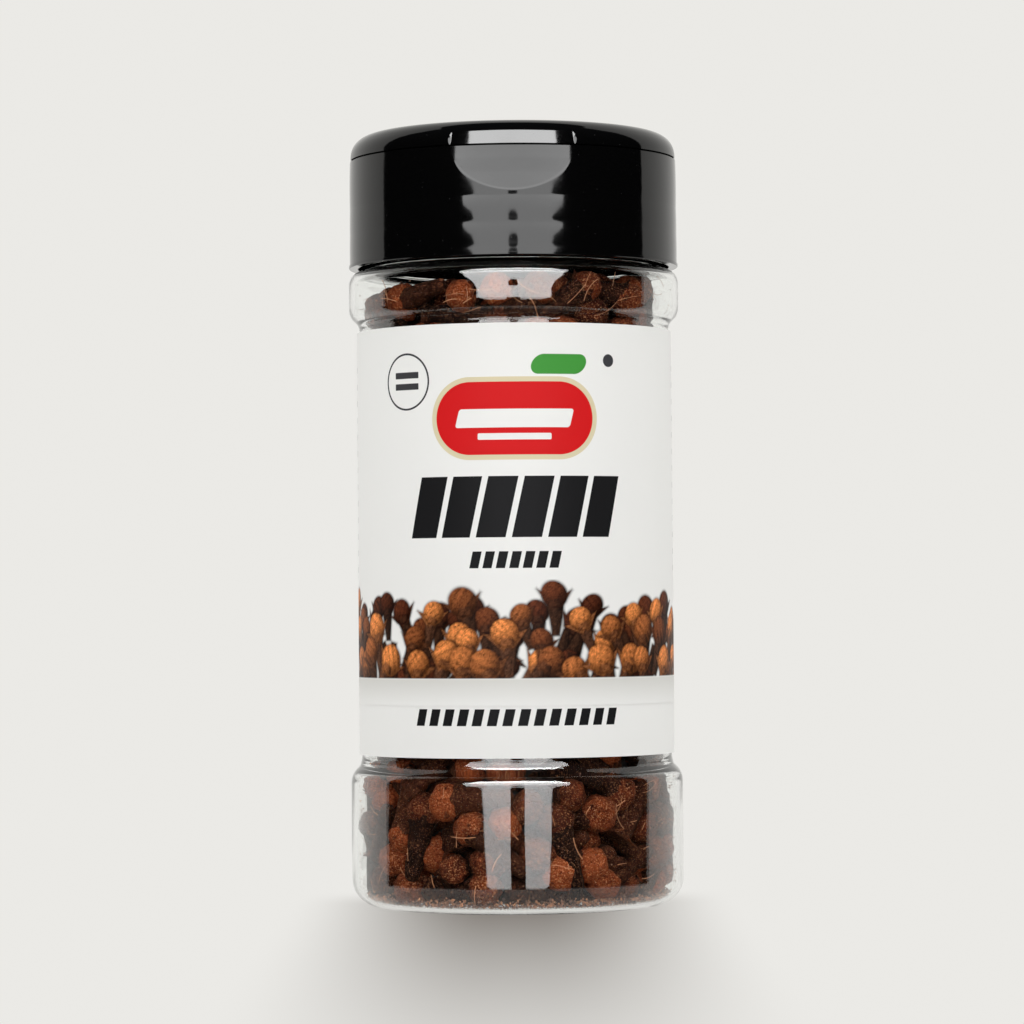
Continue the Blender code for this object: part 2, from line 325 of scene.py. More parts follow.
@dataclass(frozen=True)
class BlackPlastic:
    """Moulded glossy black plastic with a faint skin and fine dust."""

    colour: Colour = (0.0014, 0.0014, 0.0015)
    dust: Colour = (0.10, 0.10, 0.10)
    ior: float = 1.42
    gloss: float = 0.055
    skin_size: float = 0.004
    skin_depth: float = 0.000012

    def make(self) -> bpy.types.Material:
        """Makes the finish.

        Returns:
            The material.
        """
        paint = Paint("black_plastic")
        smear = paint.noise(0.006, 4.0).ramp(0.35, 0.75)
        speck = paint.grains(0.0011).ramp(0.07, 0.03)
        paint.set(
            Base_Color=paint.blend(speck * 0.25, self.colour, self.dust),
            Roughness=self.gloss + smear * 0.03 + speck * 0.15,
            IOR=self.ior,
            Specular_IOR_Level=0.5,
        )
        paint.raise_by(paint.noise(self.skin_size, 2.0), self.skin_depth)
        return paint.material


@dataclass(frozen=True)
class CloveSkin:
    """Dried clove: dark wrinkled stems, redder heads, pale dust and dark flecks."""

    stem_dark: Colour = (0.007, 0.0023, 0.0013)
    stem_light: Colour = (0.040, 0.0115, 0.0050)
    head_dark: Colour = (0.032, 0.0065, 0.0026)
    head_light: Colour = (0.185, 0.038, 0.0110)
    dust: Colour = (0.42, 0.19, 0.090)
    fleck: Colour = (0.007, 0.003, 0.002)
    relief: float = 0.0008

    def make(self) -> bpy.types.Material:
        """Makes the finish.

        Returns:
            The material.
        """
        paint = Paint("dried_clove")
        head = paint.stored("head")
        tone = paint.stored("tone")
        mottle = (paint.noise(0.0016, 6.0, 0.7) * 0.75 + tone * 0.5 - 0.12).ramp(0.22, 0.78)
        fine = paint.noise(0.00024, 3.0, 0.75)
        stem = paint.blend(mottle, self.stem_dark, self.stem_light)
        bud = paint.blend(mottle, self.head_dark, self.head_light)
        skin = paint.blend(head, stem, bud)
        grain = fine.ramp(0.54, 0.63)
        dusty = paint.noise(0.004, 2.0).ramp(0.30, 0.62) * 0.45 + 0.25
        skin = paint.blend(grain * dusty * (head * 0.55 + 0.40), skin, self.dust)
        skin = paint.blend(fine.ramp(0.47, 0.34) * 0.8, skin, self.fleck)
        paint.set(
            Base_Color=skin,
            Roughness=0.62 + fine * 0.3,
            Specular_IOR_Level=0.03,
        )
        wrinkle = paint.noise(0.0011, 4.0, 0.7)
        pits = paint.grains(0.00045)
        paint.raise_by(wrinkle * 0.7 + pits * 0.3, self.relief)
        return paint.material


@dataclass(frozen=True)
class CrumbSkin:
    """Crumbs, dust and fibres broken from the cloves."""

    dark: Colour = (0.040, 0.013, 0.006)
    light: Colour = (0.33, 0.13, 0.050)

    def make(self) -> bpy.types.Material:
        """Makes the finish.

        Returns:
            The material.
        """
        paint = Paint("clove_crumbs")
        tone = paint.stored("tone")
        speck = paint.noise(0.00025, 2.0)
        mixed = (tone * 0.8 + speck * 0.5 - 0.12).ramp(0.05, 1.0)
        paint.set(Base_Color=paint.blend(mixed, self.dark, self.light), Roughness=0.85)
        paint.raise_by(speck, 0.0001)
        return paint.material


@dataclass(frozen=True)
class CoreSkin:
    """The dark heap behind the cloves that show."""

    dark: Colour = (0.008, 0.0035, 0.0025)
    light: Colour = (0.030, 0.010, 0.006)

    def make(self) -> bpy.types.Material:
        """Makes the finish.

        Returns:
            The material.
        """
        paint = Paint("heap_core")
        lump = paint.noise(0.003, 4.0)
        paint.set(
            Base_Color=paint.blend(lump.ramp(0.45, 0.75), self.dark, self.light),
            Roughness=0.9,
        )
        paint.raise_by(lump, 0.0008)
        return paint.material


# Label artwork


@dataclass(frozen=True)
class Block:
    """A plain shape on the label: centre, half sizes and corner round, in metres along the label."""

    along: float
    height: float
    half_width: float
    half_height: float
    corner: float = 0.0
    slant: float = 0.0


@dataclass(frozen=True)
class BlockRow:
    """A row of slanted blocks."""

    bounds: Block
    count: int
    fill: float = 0.8


def dress_film(paint: Paint, colour: bpy.types.NodeSocket | Signal) -> None:
    """Gives a paint the film's sheen and its faint waves.

    Args:
        paint: The film's paint.
        colour: What is printed on it.
    """
    fibre = paint.noise(0.0009, 3.0)
    paint.set(Base_Color=colour, Roughness=0.35 + fibre * 0.10, Specular_IOR_Level=0.03)
    paint.raise_by(paint.noise(0.006, 2.0), 0.00004)


@dataclass(frozen=True)
class LabelFilm:
    """White film printed with plain fields of colour and simple shapes."""

    radius: float
    white: Colour
    edge_soft: float = 0.00004
    block_soft: float = 0.00005
    red: Colour = (0.64, 0.012, 0.014)
    cream: Colour = (0.70, 0.62, 0.42)
    green: Colour = (0.06, 0.30, 0.05)
    ink: Colour = (0.012, 0.012, 0.013)
    grey: Colour = (0.05, 0.05, 0.055)
    panel: Block = Block(0.0, 0.06935, 0.0114, 0.0051, 0.0051)
    panel_bar: Block = Block(0.0, 0.06935, 0.0082, 0.0013, 0.0004, 0.25)
    panel_line: Block = Block(0.0, 0.0668, 0.0052, 0.00045, 0.0002)
    pill: Block = Block(0.0064, 0.0769, 0.0040, 0.0014, 0.0014, 0.3)
    title: BlockRow = BlockRow(Block(0.0, 0.0570, 0.0153, 0.0043, 0.0, 0.22), 6, 0.84)
    subtitle: BlockRow = BlockRow(Block(0.0, 0.0496, 0.0066, 0.0012, 0.0, 0.22), 7, 0.72)
    foot_line: BlockRow = BlockRow(Block(0.0, 0.0276, 0.0153, 0.0012, 0.0, 0.22), 14, 0.66)
    ring: Block = Block(-0.0166, 0.0748, 0.0039, 0.0039)
    ring_bars: tuple[Block, ...] = (
        Block(-0.0166, 0.0757, 0.0022, 0.00045, 0.0001),
        Block(-0.0166, 0.0741, 0.0022, 0.00045, 0.0001),
    )
    dot: Block = Block(0.0141, 0.0775, 0.0009, 0.0009, 0.0009)
    ring_line: float = 0.00017
    ring_soft: float = 0.00006
    panel_edge: float = 0.0007
    back_panel: Block = Block(0.0480, 0.0545, 0.0145, 0.0240, 0.0010)
    back_pitch: float = 0.0024

    def _inside(self, paint: Paint, shape: Block) -> Signal:
        """Masks a shape with round corners.

        Args:
            paint: The label's paint.
            shape: The shape.

        Returns:
            1 inside it and 0 outside.
        """
        along, height = self._spot(paint, shape)
        over_x = abs(along) - (shape.half_width - shape.corner)
        over_y = abs(height) - (shape.half_height - shape.corner)
        out_x = over_x.most(0.0)
        out_y = over_y.most(0.0)
        outer = paint.math("SQRT", out_x * out_x + out_y * out_y)
        distance = outer + over_x.most(over_y).least(0.0) - shape.corner
        return distance.ramp(self.edge_soft, -self.edge_soft)

    def _spot(self, paint: Paint, shape: Block) -> tuple[Signal, Signal]:
        """Finds where the surface is from a shape's centre, with its slant taken out.

        Args:
            paint: The label's paint.
            shape: The shape.

        Returns:
            The distance along the label and the height.
        """
        x, y, z = paint.axes()
        height = z - shape.height
        along = paint.math("ARCTAN2", x, -y) * self.radius - shape.along
        if shape.slant:
            along = along - height * shape.slant
        return along, height

    def _row(self, paint: Paint, row: BlockRow) -> Signal:
        """Masks the blocks of a row.

        Args:
            paint: The label's paint.
            row: The row.

        Returns:
            1 inside the blocks and 0 outside.
        """
        along, height = self._spot(paint, row.bounds)
        pitch = 2 * row.bounds.half_width / row.count
        step = (along / pitch + row.count / 2).fraction()
        half_block = pitch * row.fill / 2
        across = (abs(step - 0.5) * pitch).ramp(half_block, half_block - self.block_soft)
        level = abs(height).ramp(row.bounds.half_height, row.bounds.half_height - self.block_soft)
        ends = abs(along).ramp(row.bounds.half_width, row.bounds.half_width - self.block_soft)
        return across * level * ends

    def _ring(self, paint: Paint, shape: Block) -> Signal:
        """Masks a thin round line.

        Args:
            paint: The label's paint.
            shape: The ring's centre and its half width.

        Returns:
            1 on the line and 0 off it.
        """
        along, height = self._spot(paint, shape)
        far = paint.math("SQRT", along * along + height * height)
        return abs(far - shape.half_width).ramp(self.ring_line, self.ring_line - self.ring_soft)

    def make(self) -> bpy.types.Material:
        """Makes the finish.

        Returns:
            The material.
        """
        paint = Paint("label_film")
        surround = replace(
            self.panel,
            half_width=self.panel.half_width + self.panel_edge,
            half_height=self.panel.half_height + self.panel_edge,
            corner=self.panel.corner + self.panel_edge,
        )
        colour = paint.blend(self._inside(paint, surround), self.white, self.cream)
        colour = paint.blend(self._inside(paint, self.panel), colour, self.red)
        for bar in (self.panel_bar, self.panel_line):
            colour = paint.blend(self._inside(paint, bar), colour, self.white)
        colour = paint.blend(self._inside(paint, self.pill), colour, self.green)
        for row in (self.title, self.subtitle, self.foot_line):
            colour = paint.blend(self._row(paint, row), colour, self.ink)
        colour = paint.blend(self._ring(paint, self.ring), colour, self.grey)
        for bar in self.ring_bars:
            colour = paint.blend(self._inside(paint, bar), colour, self.grey)
        colour = paint.blend(self._inside(paint, self.dot), colour, self.grey)
        dress_film(paint, self._back(paint, colour))
        return paint.material

    def _back(self, paint: Paint, colour: bpy.types.NodeSocket) -> bpy.types.NodeSocket:
        """Plain panels of grey lines at the sides and back of the label.

        Args:
            paint: The label's paint.
            colour: The colour so far.

        Returns:
            The colour with the panels laid on it.
        """
        for side in (-1, 1):
            shape = replace(self.back_panel, along=side * self.back_panel.along)
            inside = self._inside(paint, shape)
            _, height = self._spot(paint, shape)
            line = (height / self.back_pitch).fraction()
            stripe = abs(line - 0.5).ramp(0.19, 0.15)
            colour = paint.blend(inside * stripe * 0.45, colour, self.grey)
        return colour


@dataclass(frozen=True)
class PrintedBand:
    """The film under the band of cloves, which takes its colours from the band's mesh."""

    def make(self) -> bpy.types.Material:
        """Makes the finish.

        Returns:
            The material.
        """
        paint = Paint("label_print")
        dress_film(paint, paint.stored("print", "Color"))
        return paint.material


# Mesh tools


def rounded_outline(corners: Sequence[Corner], arc_step: float) -> list[Vector]:
    """Follows (radius, height, fillet) corners with an arc at each fillet.

    Args:
        corners: The corners in order.
        arc_step: The turn of one step of an arc, in radians.

    Returns:
        The points of the outline.
    """
    points = []
    for i, (radius, height, fillet) in enumerate(corners):
        corner = Vector((radius, height))
        if not fillet or i in (0, len(corners) - 1):
            points.append(corner)
            continue
        back = (Vector(corners[i - 1][:2]) - corner).normalized()
        ahead = (Vector(corners[i + 1][:2]) - corner).normalized()
        opening = back.angle(ahead)
        reach = fillet / math.tan(opening / 2)
        centre = corner + (back + ahead).normalized() * (fillet / math.sin(opening / 2))
        start = corner + back * reach - centre
        turn = start.angle_signed(corner + ahead * reach - centre)
        steps = max(3, round(abs(turn) / arc_step))
        points += [centre + Matrix.Rotation(-turn * k / steps, 2) @ start for k in range(steps + 1)]
    return points


def add_piece(name: str, mesh: bpy.types.Mesh, material: bpy.types.Material) -> bpy.types.Object:
    """Links a mesh to the scene as a piece that rides on the object's body.

    Args:
        name: The piece's name.
        mesh: Its mesh.
        material: Its finish.

    Returns:
        The new object.
    """
    piece = bpy.data.objects.new(name, mesh)
    bpy.context.scene.collection.objects.link(piece)
    mesh.materials.append(material)
    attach(piece, BODY)
    return piece


def smooth(mesh: bpy.types.Mesh, angle: float = 40.0) -> bpy.types.Mesh:
    """Shades a mesh smooth, but for its sharp edges.

    Args:
        mesh: The mesh.
        angle: The turn in degrees above which an edge stays sharp.

    Returns:
        The same mesh.
    """
    mesh.shade_smooth()
    mesh.set_sharp_from_angle(angle=math.radians(angle))
    return mesh


def turned_mesh(name: str, points: Sequence[Vector], segments: int) -> bpy.types.Mesh:
    """Turns an outline about Z.

    Args:
        name: The mesh's name.
        points: The outline as (radius, height) points; ends on the axis are closed.
        segments: The number of steps round.

    Returns:
        The mesh, faces out.
    """
    bm = bmesh.new()
    verts = [bm.verts.new((p.x, 0.0, p.y)) for p in points]
    edges = [bm.edges.new(pair) for pair in zip(verts, verts[1:])]
    if points[0].x > TINY:
        edges.append(bm.edges.new((verts[-1], verts[0])))
    bmesh.ops.spin(
        bm, geom=verts + edges, axis=(0, 0, 1), cent=(0, 0, 0), steps=segments, angle=math.tau
    )
    bmesh.ops.remove_doubles(bm, verts=bm.verts, dist=TINY)
    bmesh.ops.recalc_face_normals(bm, faces=bm.faces)
    mesh = bpy.data.meshes.new(name)
    bm.to_mesh(mesh)
    bm.free()
    return smooth(mesh)


def closed_sheet(name: str, rings: Sequence[Sequence[Vector]], around: bool) -> bpy.types.Mesh:
    """Joins rings of points into a skin.

    Args:
        name: The mesh's name.
        rings: Rows of points, each with the same number.
        around: True if each ring closes on itself.

    Returns:
        The mesh.
    """
    width = len(rings[0])
    points = [tuple(p) for ring in rings for p in ring]
    last = width if around else width - 1
    faces = []
    for i in range(len(rings) - 1):
        low = i * width
        high = low + width
        for j in range(last):
            after = (j + 1) % width
            faces.append((low + j, low + after, high + after, high + j))
    mesh = bpy.data.meshes.new(name)
    mesh.from_pydata(points, [], faces)
    mesh.update()
    return mesh


def skin_mesh(name: str, rings: Sequence[Sequence[Vector]], angle: float = 40.0) -> bpy.types.Mesh:
    """Makes a closed skin from rings, with doubled points merged and its faces out.

    Args:
        name: The mesh's name.
        rings: Closed rings of points, each with the same number.
        angle: The turn in degrees above which an edge stays sharp.

    Returns:
        The mesh.
    """
    mesh = closed_sheet(name, rings, True)
    bm = bmesh.new()
    bm.from_mesh(mesh)
    bmesh.ops.remove_doubles(bm, verts=bm.verts, dist=TINY)
    bmesh.ops.recalc_face_normals(bm, faces=bm.faces)
    bm.to_mesh(mesh)
    bm.free()
    return smooth(mesh, angle)


def store(mesh: bpy.types.Mesh, name: str, values: np.ndarray) -> None:
    """Stores one number for each point of a mesh.

    Args:
        mesh: The mesh.
        name: The number's name.
        values: One for each point.
    """
    mesh.attributes.new(name, "FLOAT", "POINT").data.foreach_set("value", values.astype(np.float32))


# The jar


@dataclass
class Jar:
    """The clear jar: foot, bulge, label panel, shoulder and plain neck."""

    bulge_radius: float = 0.0240
    panel_radius: float = 0.0224
    shoulder_radius: float = 0.02388
    neck_radius: float = 0.0206
    foot_round: float = 0.0040
    foot_inner_radius: float = 0.0176
    push_up: float = 0.0002
    push_up_slope: float = 0.0010
    push_up_round: float = 0.0008
    bulge_top: float = 0.0190
    bulge_round: float = 0.0031
    panel_floor: float = 0.0203
    flare_radius: float = 0.0227
    flare_top: float = 0.0212
    flare_round: float = 0.0044
    panel_ceiling: float = 0.0838
    ceiling_round: float = 0.0018
    shoulder_floor: float = 0.0852
    shoulder_floor_round: float = 0.0024
    shoulder_top: float = 0.09175
    shoulder_round: float = 0.0021
    crease_round: float = 0.0004
    flare_crease_round: float = 0.0003
    mouth_height: float = 0.1058
    wall: float = 0.00085
    neck_wall: float = 0.0011
    base_thickness: float = 0.0005
    inner_shift: float = 0.0003
    inner_bulge_drop: float = 0.0002
    inner_bulge_round: float = 0.0014
    inner_panel_round: float = 0.0012
    inner_shoulder_round: float = 0.0013
    inner_ceiling_round: float = 0.0016
    segments: int = 192

    def outer_corners(self) -> list[Corner]:
        """Gives the outside's corners.

        Returns:
            The corners, from the middle of the foot up to the mouth.
        """
        return [
            (0.0, self.push_up, 0.0),
            (self.foot_inner_radius - self.push_up_slope, self.push_up, self.push_up_round),
            (self.foot_inner_radius, 0.0, self.crease_round),
            (self.bulge_radius, 0.0, self.foot_round),
            (self.bulge_radius, self.foot_round + self.inner_shift, 0.0),
            (self.bulge_radius, self.bulge_top, self.bulge_round),
            (self.flare_radius, self.panel_floor, self.flare_crease_round),
            (self.panel_radius, self.flare_top, self.flare_round),
            (self.panel_radius, self.panel_ceiling, self.ceiling_round),
            (self.shoulder_radius, self.shoulder_floor, self.shoulder_floor_round),
            (self.shoulder_radius, self.shoulder_top, self.shoulder_round),
            (self.neck_radius, self.shoulder_top, self.crease_round),
            (self.neck_radius, self.mouth_height, 0.0),
        ]

    def inner_corners(self) -> list[Corner]:
        """Gives the inside's corners.

        Returns:
            The corners, from the mouth down to the middle of the floor.
        """
        roof = self.shoulder_top - self.wall
        floor = self.push_up + self.base_thickness
        neck = self.neck_radius - self.neck_wall
        shoulder = self.shoulder_radius - self.wall
        panel = self.panel_radius - self.wall
        bulge = self.bulge_radius - self.wall
        return [
            (neck, self.mouth_height, 0.0),
            (neck, roof, self.crease_round),
            (shoulder, roof, self.inner_shoulder_round),
            (shoulder, self.shoulder_floor + self.inner_shift, self.inner_ceiling_round),
            (panel, self.panel_ceiling + self.inner_shift, self.inner_ceiling_round),
            (panel, self.panel_floor - self.inner_shift, self.inner_panel_round),
            (bulge, self.bulge_top - self.inner_bulge_drop, self.inner_bulge_round),
            (bulge, self.foot_round + self.inner_shift, 0.0),
            (bulge, floor, self.foot_round - self.wall),
            (0.0, floor, 0.0),
        ]

    def inner_radius(self, heights: np.ndarray) -> np.ndarray:
        """Measures the inside of the jar.

        Args:
            heights: Where to measure.

        Returns:
            The radius of the inside at each height.
        """
        points = rounded_outline(self.inner_corners(), math.radians(6))[1:-1]
        points.reverse()
        rises = np.array([p.y for p in points])
        radii = np.array([p.x for p in points])
        return np.interp(heights, np.maximum.accumulate(rises), radii)

    def build(self, finish: ClearPlastic) -> bpy.types.Object:
        """Builds the jar and puts it in place of its solid.

        Args:
            finish: The plastic.

        Returns:
            The jar.
        """
        step = math.radians(7.5)
        outline = rounded_outline(self.outer_corners(), step) + rounded_outline(self.inner_corners(), step)
        mesh = turned_mesh("jar_clear", outline, self.segments)
        piece = add_piece("jar_clear", mesh, finish.make())
        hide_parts("bottle")
        return piece


# The label


@dataclass
class PrintedClove:
    """One printed clove: where it lies along the band, its turn, length and tone."""

    along: float
    height: float
    turn: float
    size: float
    tone: float


@dataclass
class Label:
    """The film sleeve, its overlap at the back, and the printed band of cloves."""

    inner_radius: float = 0.02255
    thickness: float = 0.00022
    bottom: float = 0.0219
    top: float = 0.0827
    overlap_rise: float = 0.00008
    overlap_start: float = math.radians(168)
    overlap_end: float = math.radians(176)
    band_bottom: float = 0.0292
    band_top: float = 0.0468
    band_lift: float = 0.00003
    cell: float = 0.00017
    white: Colour = (0.845, 0.845, 0.83)
    segments: int = 240

    @property
    def outer_radius(self) -> float:
        """Radius of the printed face."""
        return self.inner_radius + self.thickness

    def build(self, seed: int) -> list[bpy.types.Object]:
        """Builds the sleeve and the band, and puts them in place of the label's solid.

        Args:
            seed: Where the printed cloves' random draw starts.

        Returns:
            The sleeve and the band.
        """
        sleeve = self._sleeve()
        band = self._band(seed)
        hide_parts("label")
        return [sleeve, band]

    def _sleeve(self) -> bpy.types.Object:
        """Builds the film, a little thicker where its end laps over its start.

        Returns:
            The sleeve.
        """
        rows = (
            (self.inner_radius, self.bottom),
            (self.outer_radius, self.bottom),
            (self.outer_radius, self.top),
            (self.inner_radius, self.top),
            (self.inner_radius, self.bottom),
        )
        rings = []
        for radius, height in rows:
            ring = []
            for k in range(self.segments):
                azimuth = math.tau * k / self.segments
                lap = self.overlap_start < azimuth < self.overlap_end
                reach = radius + (self.overlap_rise if lap and radius > self.inner_radius else 0.0)
                ring.append(Vector((math.sin(azimuth) * reach, -math.cos(azimuth) * reach, height)))
            rings.append(ring)
        finish = LabelFilm(self.outer_radius, self.white)
        return add_piece("label_sleeve", skin_mesh("label_sleeve", rings), finish.make())

    def _band(self, seed: int) -> bpy.types.Object:
        """Builds the printed band, as a fine skin whose points hold their colours.

        Args:
            seed: Where the printed cloves' random draw starts.

        Returns:
            The band.
        """
        around = int(math.tau * self.outer_radius / self.cell)
        levels = int((self.band_top - self.band_bottom) / self.cell)
        azimuth = np.arange(around) * math.tau / around
        step = math.tau / self.segments
        lap = (azimuth > self.overlap_start - step) & (azimuth < self.overlap_end + step)
        radius = self.outer_radius + self.band_lift + self.overlap_rise * lap
        height = np.linspace(self.band_bottom, self.band_top, levels + 1)
        points = np.empty((levels + 1, around, 3))
        points[..., 0] = np.sin(azimuth) * radius
        points[..., 1] = -np.cos(azimuth) * radius
        points[..., 2] = height[:, None]
        index = np.arange((levels + 1) * around).reshape(levels + 1, around)
        after = np.roll(index, -1, axis=1)
        faces = np.stack([index[:-1], after[:-1], after[1:], index[1:]], axis=-1).reshape(-1, 4)
        mesh = bpy.data.meshes.new("label_band")
        mesh.from_pydata(points.reshape(-1, 3), [], faces)
        mesh.update()
        mesh.shade_smooth()
        along = azimuth * self.outer_radius
        colours = BandArt(self, seed).draw(along, height)
        layer = mesh.color_attributes.new("print", "FLOAT_COLOR", "POINT")
        flat = np.ones(((levels + 1) * around, 4), dtype=np.float32)
        flat[:, :3] = colours.reshape(-1, 3)
        layer.data.foreach_set("color", flat.ravel())
        return add_piece("label_band", mesh, PrintedBand().make())


@dataclass(frozen=True)
class PrintedRow:
    """A row of printed cloves: its place, their number, size and way, and the range of their tones."""

    middle: float
    spread: float
    count: int
    size: float
    turn: float
    sway: float
    dim: float
    bright: float


@dataclass
class BandArt:
    """Draws a heap of cloves as colours on the band: each is shaded as a round stem with a bud."""

    label: Label
    seed: int
    rows: tuple[PrintedRow, ...] = (
        PrintedRow(0.0385, 0.0030, 50, 0.95, math.pi / 2, 0.55, 0.30, 0.55),
        PrintedRow(0.0366, 0.0016, 44, 0.90, -math.pi / 2, 0.60, 0.30, 0.60),
        PrintedRow(0.0396, 0.0014, 17, 0.98, math.pi / 2, 0.45, 0.55, 1.00),
        PrintedRow(0.0364, 0.0014, 27, 1.00, math.pi / 2, 0.60, 0.50, 1.05),
        PrintedRow(0.0324, 0.0009, 34, 1.02, math.pi / 2, 0.75, 0.60, 1.15),
    )
    stem_half: float = 0.0010
    stem_length: float = 0.0046
    stem_over: float = 0.0004
    bud_radius: float = 0.0020
    bud_reach: float = 0.0011
    tooth_reach: float = 0.0036
    tooth_taper: float = 0.00105
    tooth_round: float = 0.0009
    tooth_overlap: float = 0.0006
    tooth_stub: float = 0.0004
    tooth_lean: float = 0.95
    shadow_soft: float = 0.00045
    shadow_share: float = 0.55
    ground_line: float = 0.0331
    ground_edge: float = 0.0003
    ground_share: float = 0.45
    light: tuple[float, float, float] = (-0.35, 0.55, 0.76)
    stem_colour: Colour = (0.080, 0.032, 0.016)
    bud_colour: Colour = (0.56, 0.185, 0.050)
    bud_dark: Colour = (0.17, 0.042, 0.016)
    ground_colour: Colour = (0.44, 0.43, 0.38)

    def draw(self, along: np.ndarray, height: np.ndarray) -> np.ndarray:
        """Draws the band.

        Args:
            along: Distance along the label of each column.
            height: Height of each row.

        Returns:
            One colour for each cell, rows first.
        """
        draw = random.Random(self.seed)
        length = math.tau * self.label.outer_radius
        canvas = np.empty((len(height), len(along), 3))
        canvas[:] = self.label.white
        self._ground(canvas, height)
        for row in self.rows:
            for k in range(row.count):
                clove = PrintedClove(
                    (k + draw.uniform(-0.5, 0.5)) * length / row.count,
                    row.middle + draw.uniform(-row.spread, row.spread),
                    row.turn + draw.uniform(-row.sway, row.sway),
                    row.size * draw.uniform(0.82, 1.1),
                    draw.uniform(row.dim, row.bright),
                )
                self._clove(canvas, along, height, clove, draw)
        return canvas

    def _ground(self, canvas: np.ndarray, height: np.ndarray) -> None:
        """Draws a grey ground under the heap that fades downwards.

        Args:
            canvas: The colours so far, which it changes.
            height: Height of each row.
        """
        bottom = self.label.band_bottom
        fade = np.clip((height - bottom) / (self.ground_line - bottom), 0, 1)
        fade = fade * np.clip((self.ground_line - height) / self.ground_edge, 0, 1)
        share = (self.ground_share * fade)[:, None, None]
        canvas[:] = canvas * (1 - share) + np.array(self.ground_colour) * share

    def _clove(
        self,
        canvas: np.ndarray,
        along: np.ndarray,
        height: np.ndarray,
        clove: PrintedClove,
        draw: random.Random,
    ) -> None:
        """Draws one clove on the canvas, with a soft shadow round it.

        Args:
            canvas: The colours so far, which it changes.
            along: Distance along the label of each column.
            height: Height of each row.
            clove: The clove.
            draw: The random draw.
        """
        length = math.tau * self.label.outer_radius
        reach = (self.stem_length + 2 * self.bud_radius) * clove.size
        apart = (along - clove.along + length / 2) % length - length / 2
        columns = np.nonzero(np.abs(apart) < reach)[0]
        rows = np.nonzero((np.abs(height - clove.height) < reach) & (height > self.ground_line))[0]
        if not len(columns) or not len(rows):
            return
        x, y = np.meshgrid(apart[columns], height[rows] - clove.height)
        cos, sin = math.cos(clove.turn), math.sin(clove.turn)
        down = (x * cos + y * sin) / clove.size
        across = (-x * sin + y * cos) / clove.size
        bend = draw.uniform(-18, 18)
        across = across + bend * down * down
        ripe = np.clip((clove.tone - 0.45) / 0.45, 0, 1)
        bud_colour = tuple(d + (b - d) * ripe for d, b in zip(self.bud_dark, self.bud_colour))
        layers = self._shapes(down, across, bud_colour, draw)
        window = np.ix_(rows, columns)
        patch = canvas[window]
        shadow = np.zeros_like(x)
        for level, _, _, _ in layers:
            shadow = np.maximum(shadow, np.clip(1 + level / self.shadow_soft, 0, 1))
        patch = patch * (1 - self.shadow_share * shadow[..., None] ** 1.5)
        grain = np.random.default_rng(draw.randrange(1 << 30)).normal(1.0, 0.22, x.shape)
        for _ in range(3):
            wave = [draw.uniform(2500, 6500) * draw.choice((-1, 1)) for _ in range(2)]
            grain = grain + 0.13 * np.sin(down * wave[0] + across * wave[1] + draw.uniform(0, math.tau))
        light = np.array(self.light)
        for level, slope_down, slope_across, colour in layers:
            share = np.clip(0.5 + level / (self.label.cell * 1.2), 0, 1)
            dx = slope_down * cos - slope_across * sin
            dy = slope_down * sin + slope_across * cos
            up = np.sqrt(np.clip(1 - dx * dx - dy * dy, 0.02, 1))
            lit = np.clip(dx * light[0] + dy * light[1] + up * light[2], 0, 1)
            shade = (0.22 + 1.25 * lit**1.4) * grain * clove.tone
            patch = patch * (1 - share[..., None]) + (shade * share)[..., None] * np.array(colour)
        canvas[window] = patch

    def _shapes(
        self, down: np.ndarray, across: np.ndarray, bud_colour: Colour, draw: random.Random
    ) -> list[Form]:
        """Works out the forms of one clove.

        Args:
            down: Distance towards the bud from the clove's middle, in its own size.
            across: Distance from its middle line.
            bud_colour: The bud's colour.
            draw: The random draw.

        Returns:
            The stem, the calyx teeth and the bud, each as the distance inside it, two slopes and a colour.
        """
        half = self.stem_length / 2
        share = np.clip((down + half) / self.stem_length, 0, 1)
        width = self.stem_half * (0.62 + 0.75 * share)
        side = np.clip(across / width, -1, 1)
        inside = np.minimum(width - np.abs(across), half - np.abs(down) + self.stem_over)
        groove = 0.25 * np.sin(across / width * 7.0)
        stem = (inside, np.zeros_like(side), side + groove, self.stem_colour)
        centre = half + self.bud_reach
        far = np.hypot(down - centre, across)
        bud = (
            self.bud_radius - far,
            np.clip((down - centre) / self.bud_radius, -1, 1),
            np.clip(across / self.bud_radius, -1, 1),
            bud_colour,
        )
        shapes = [stem]
        tooth_colour = tuple(0.6 * s + 0.25 * b for s, b in zip(self.stem_colour, bud_colour))
        for lean in (-1, 1, 0):
            angle = lean * self.tooth_lean + draw.uniform(-0.2, 0.2)
            rise = down - half + self.tooth_overlap
            ahead = rise * math.cos(angle) + across * math.sin(angle)
            beside = -rise * math.sin(angle) + across * math.cos(angle)
            taper = self.tooth_taper * np.clip(1 - ahead / self.tooth_reach, 0, 1)
            level = np.minimum(np.minimum(taper - np.abs(beside), ahead), self.tooth_reach - ahead)
            slope = np.clip(beside / self.tooth_round, -1, 1)
            shape = (level, 0.25 * np.ones_like(slope), slope, tooth_colour)
            if lean:
                shapes.append(shape)
            else:
                stub = np.minimum(level, self.tooth_stub - ahead + self.tooth_overlap)
                shapes += [bud, (stub, *shape[1:])]
        return shapes


# The cap


class LidPart(Enum):
    """A part of the lid, by the side of the bar on which it lies along Y."""

    FRONT = -1
    BAR = 0
    BACK = 1


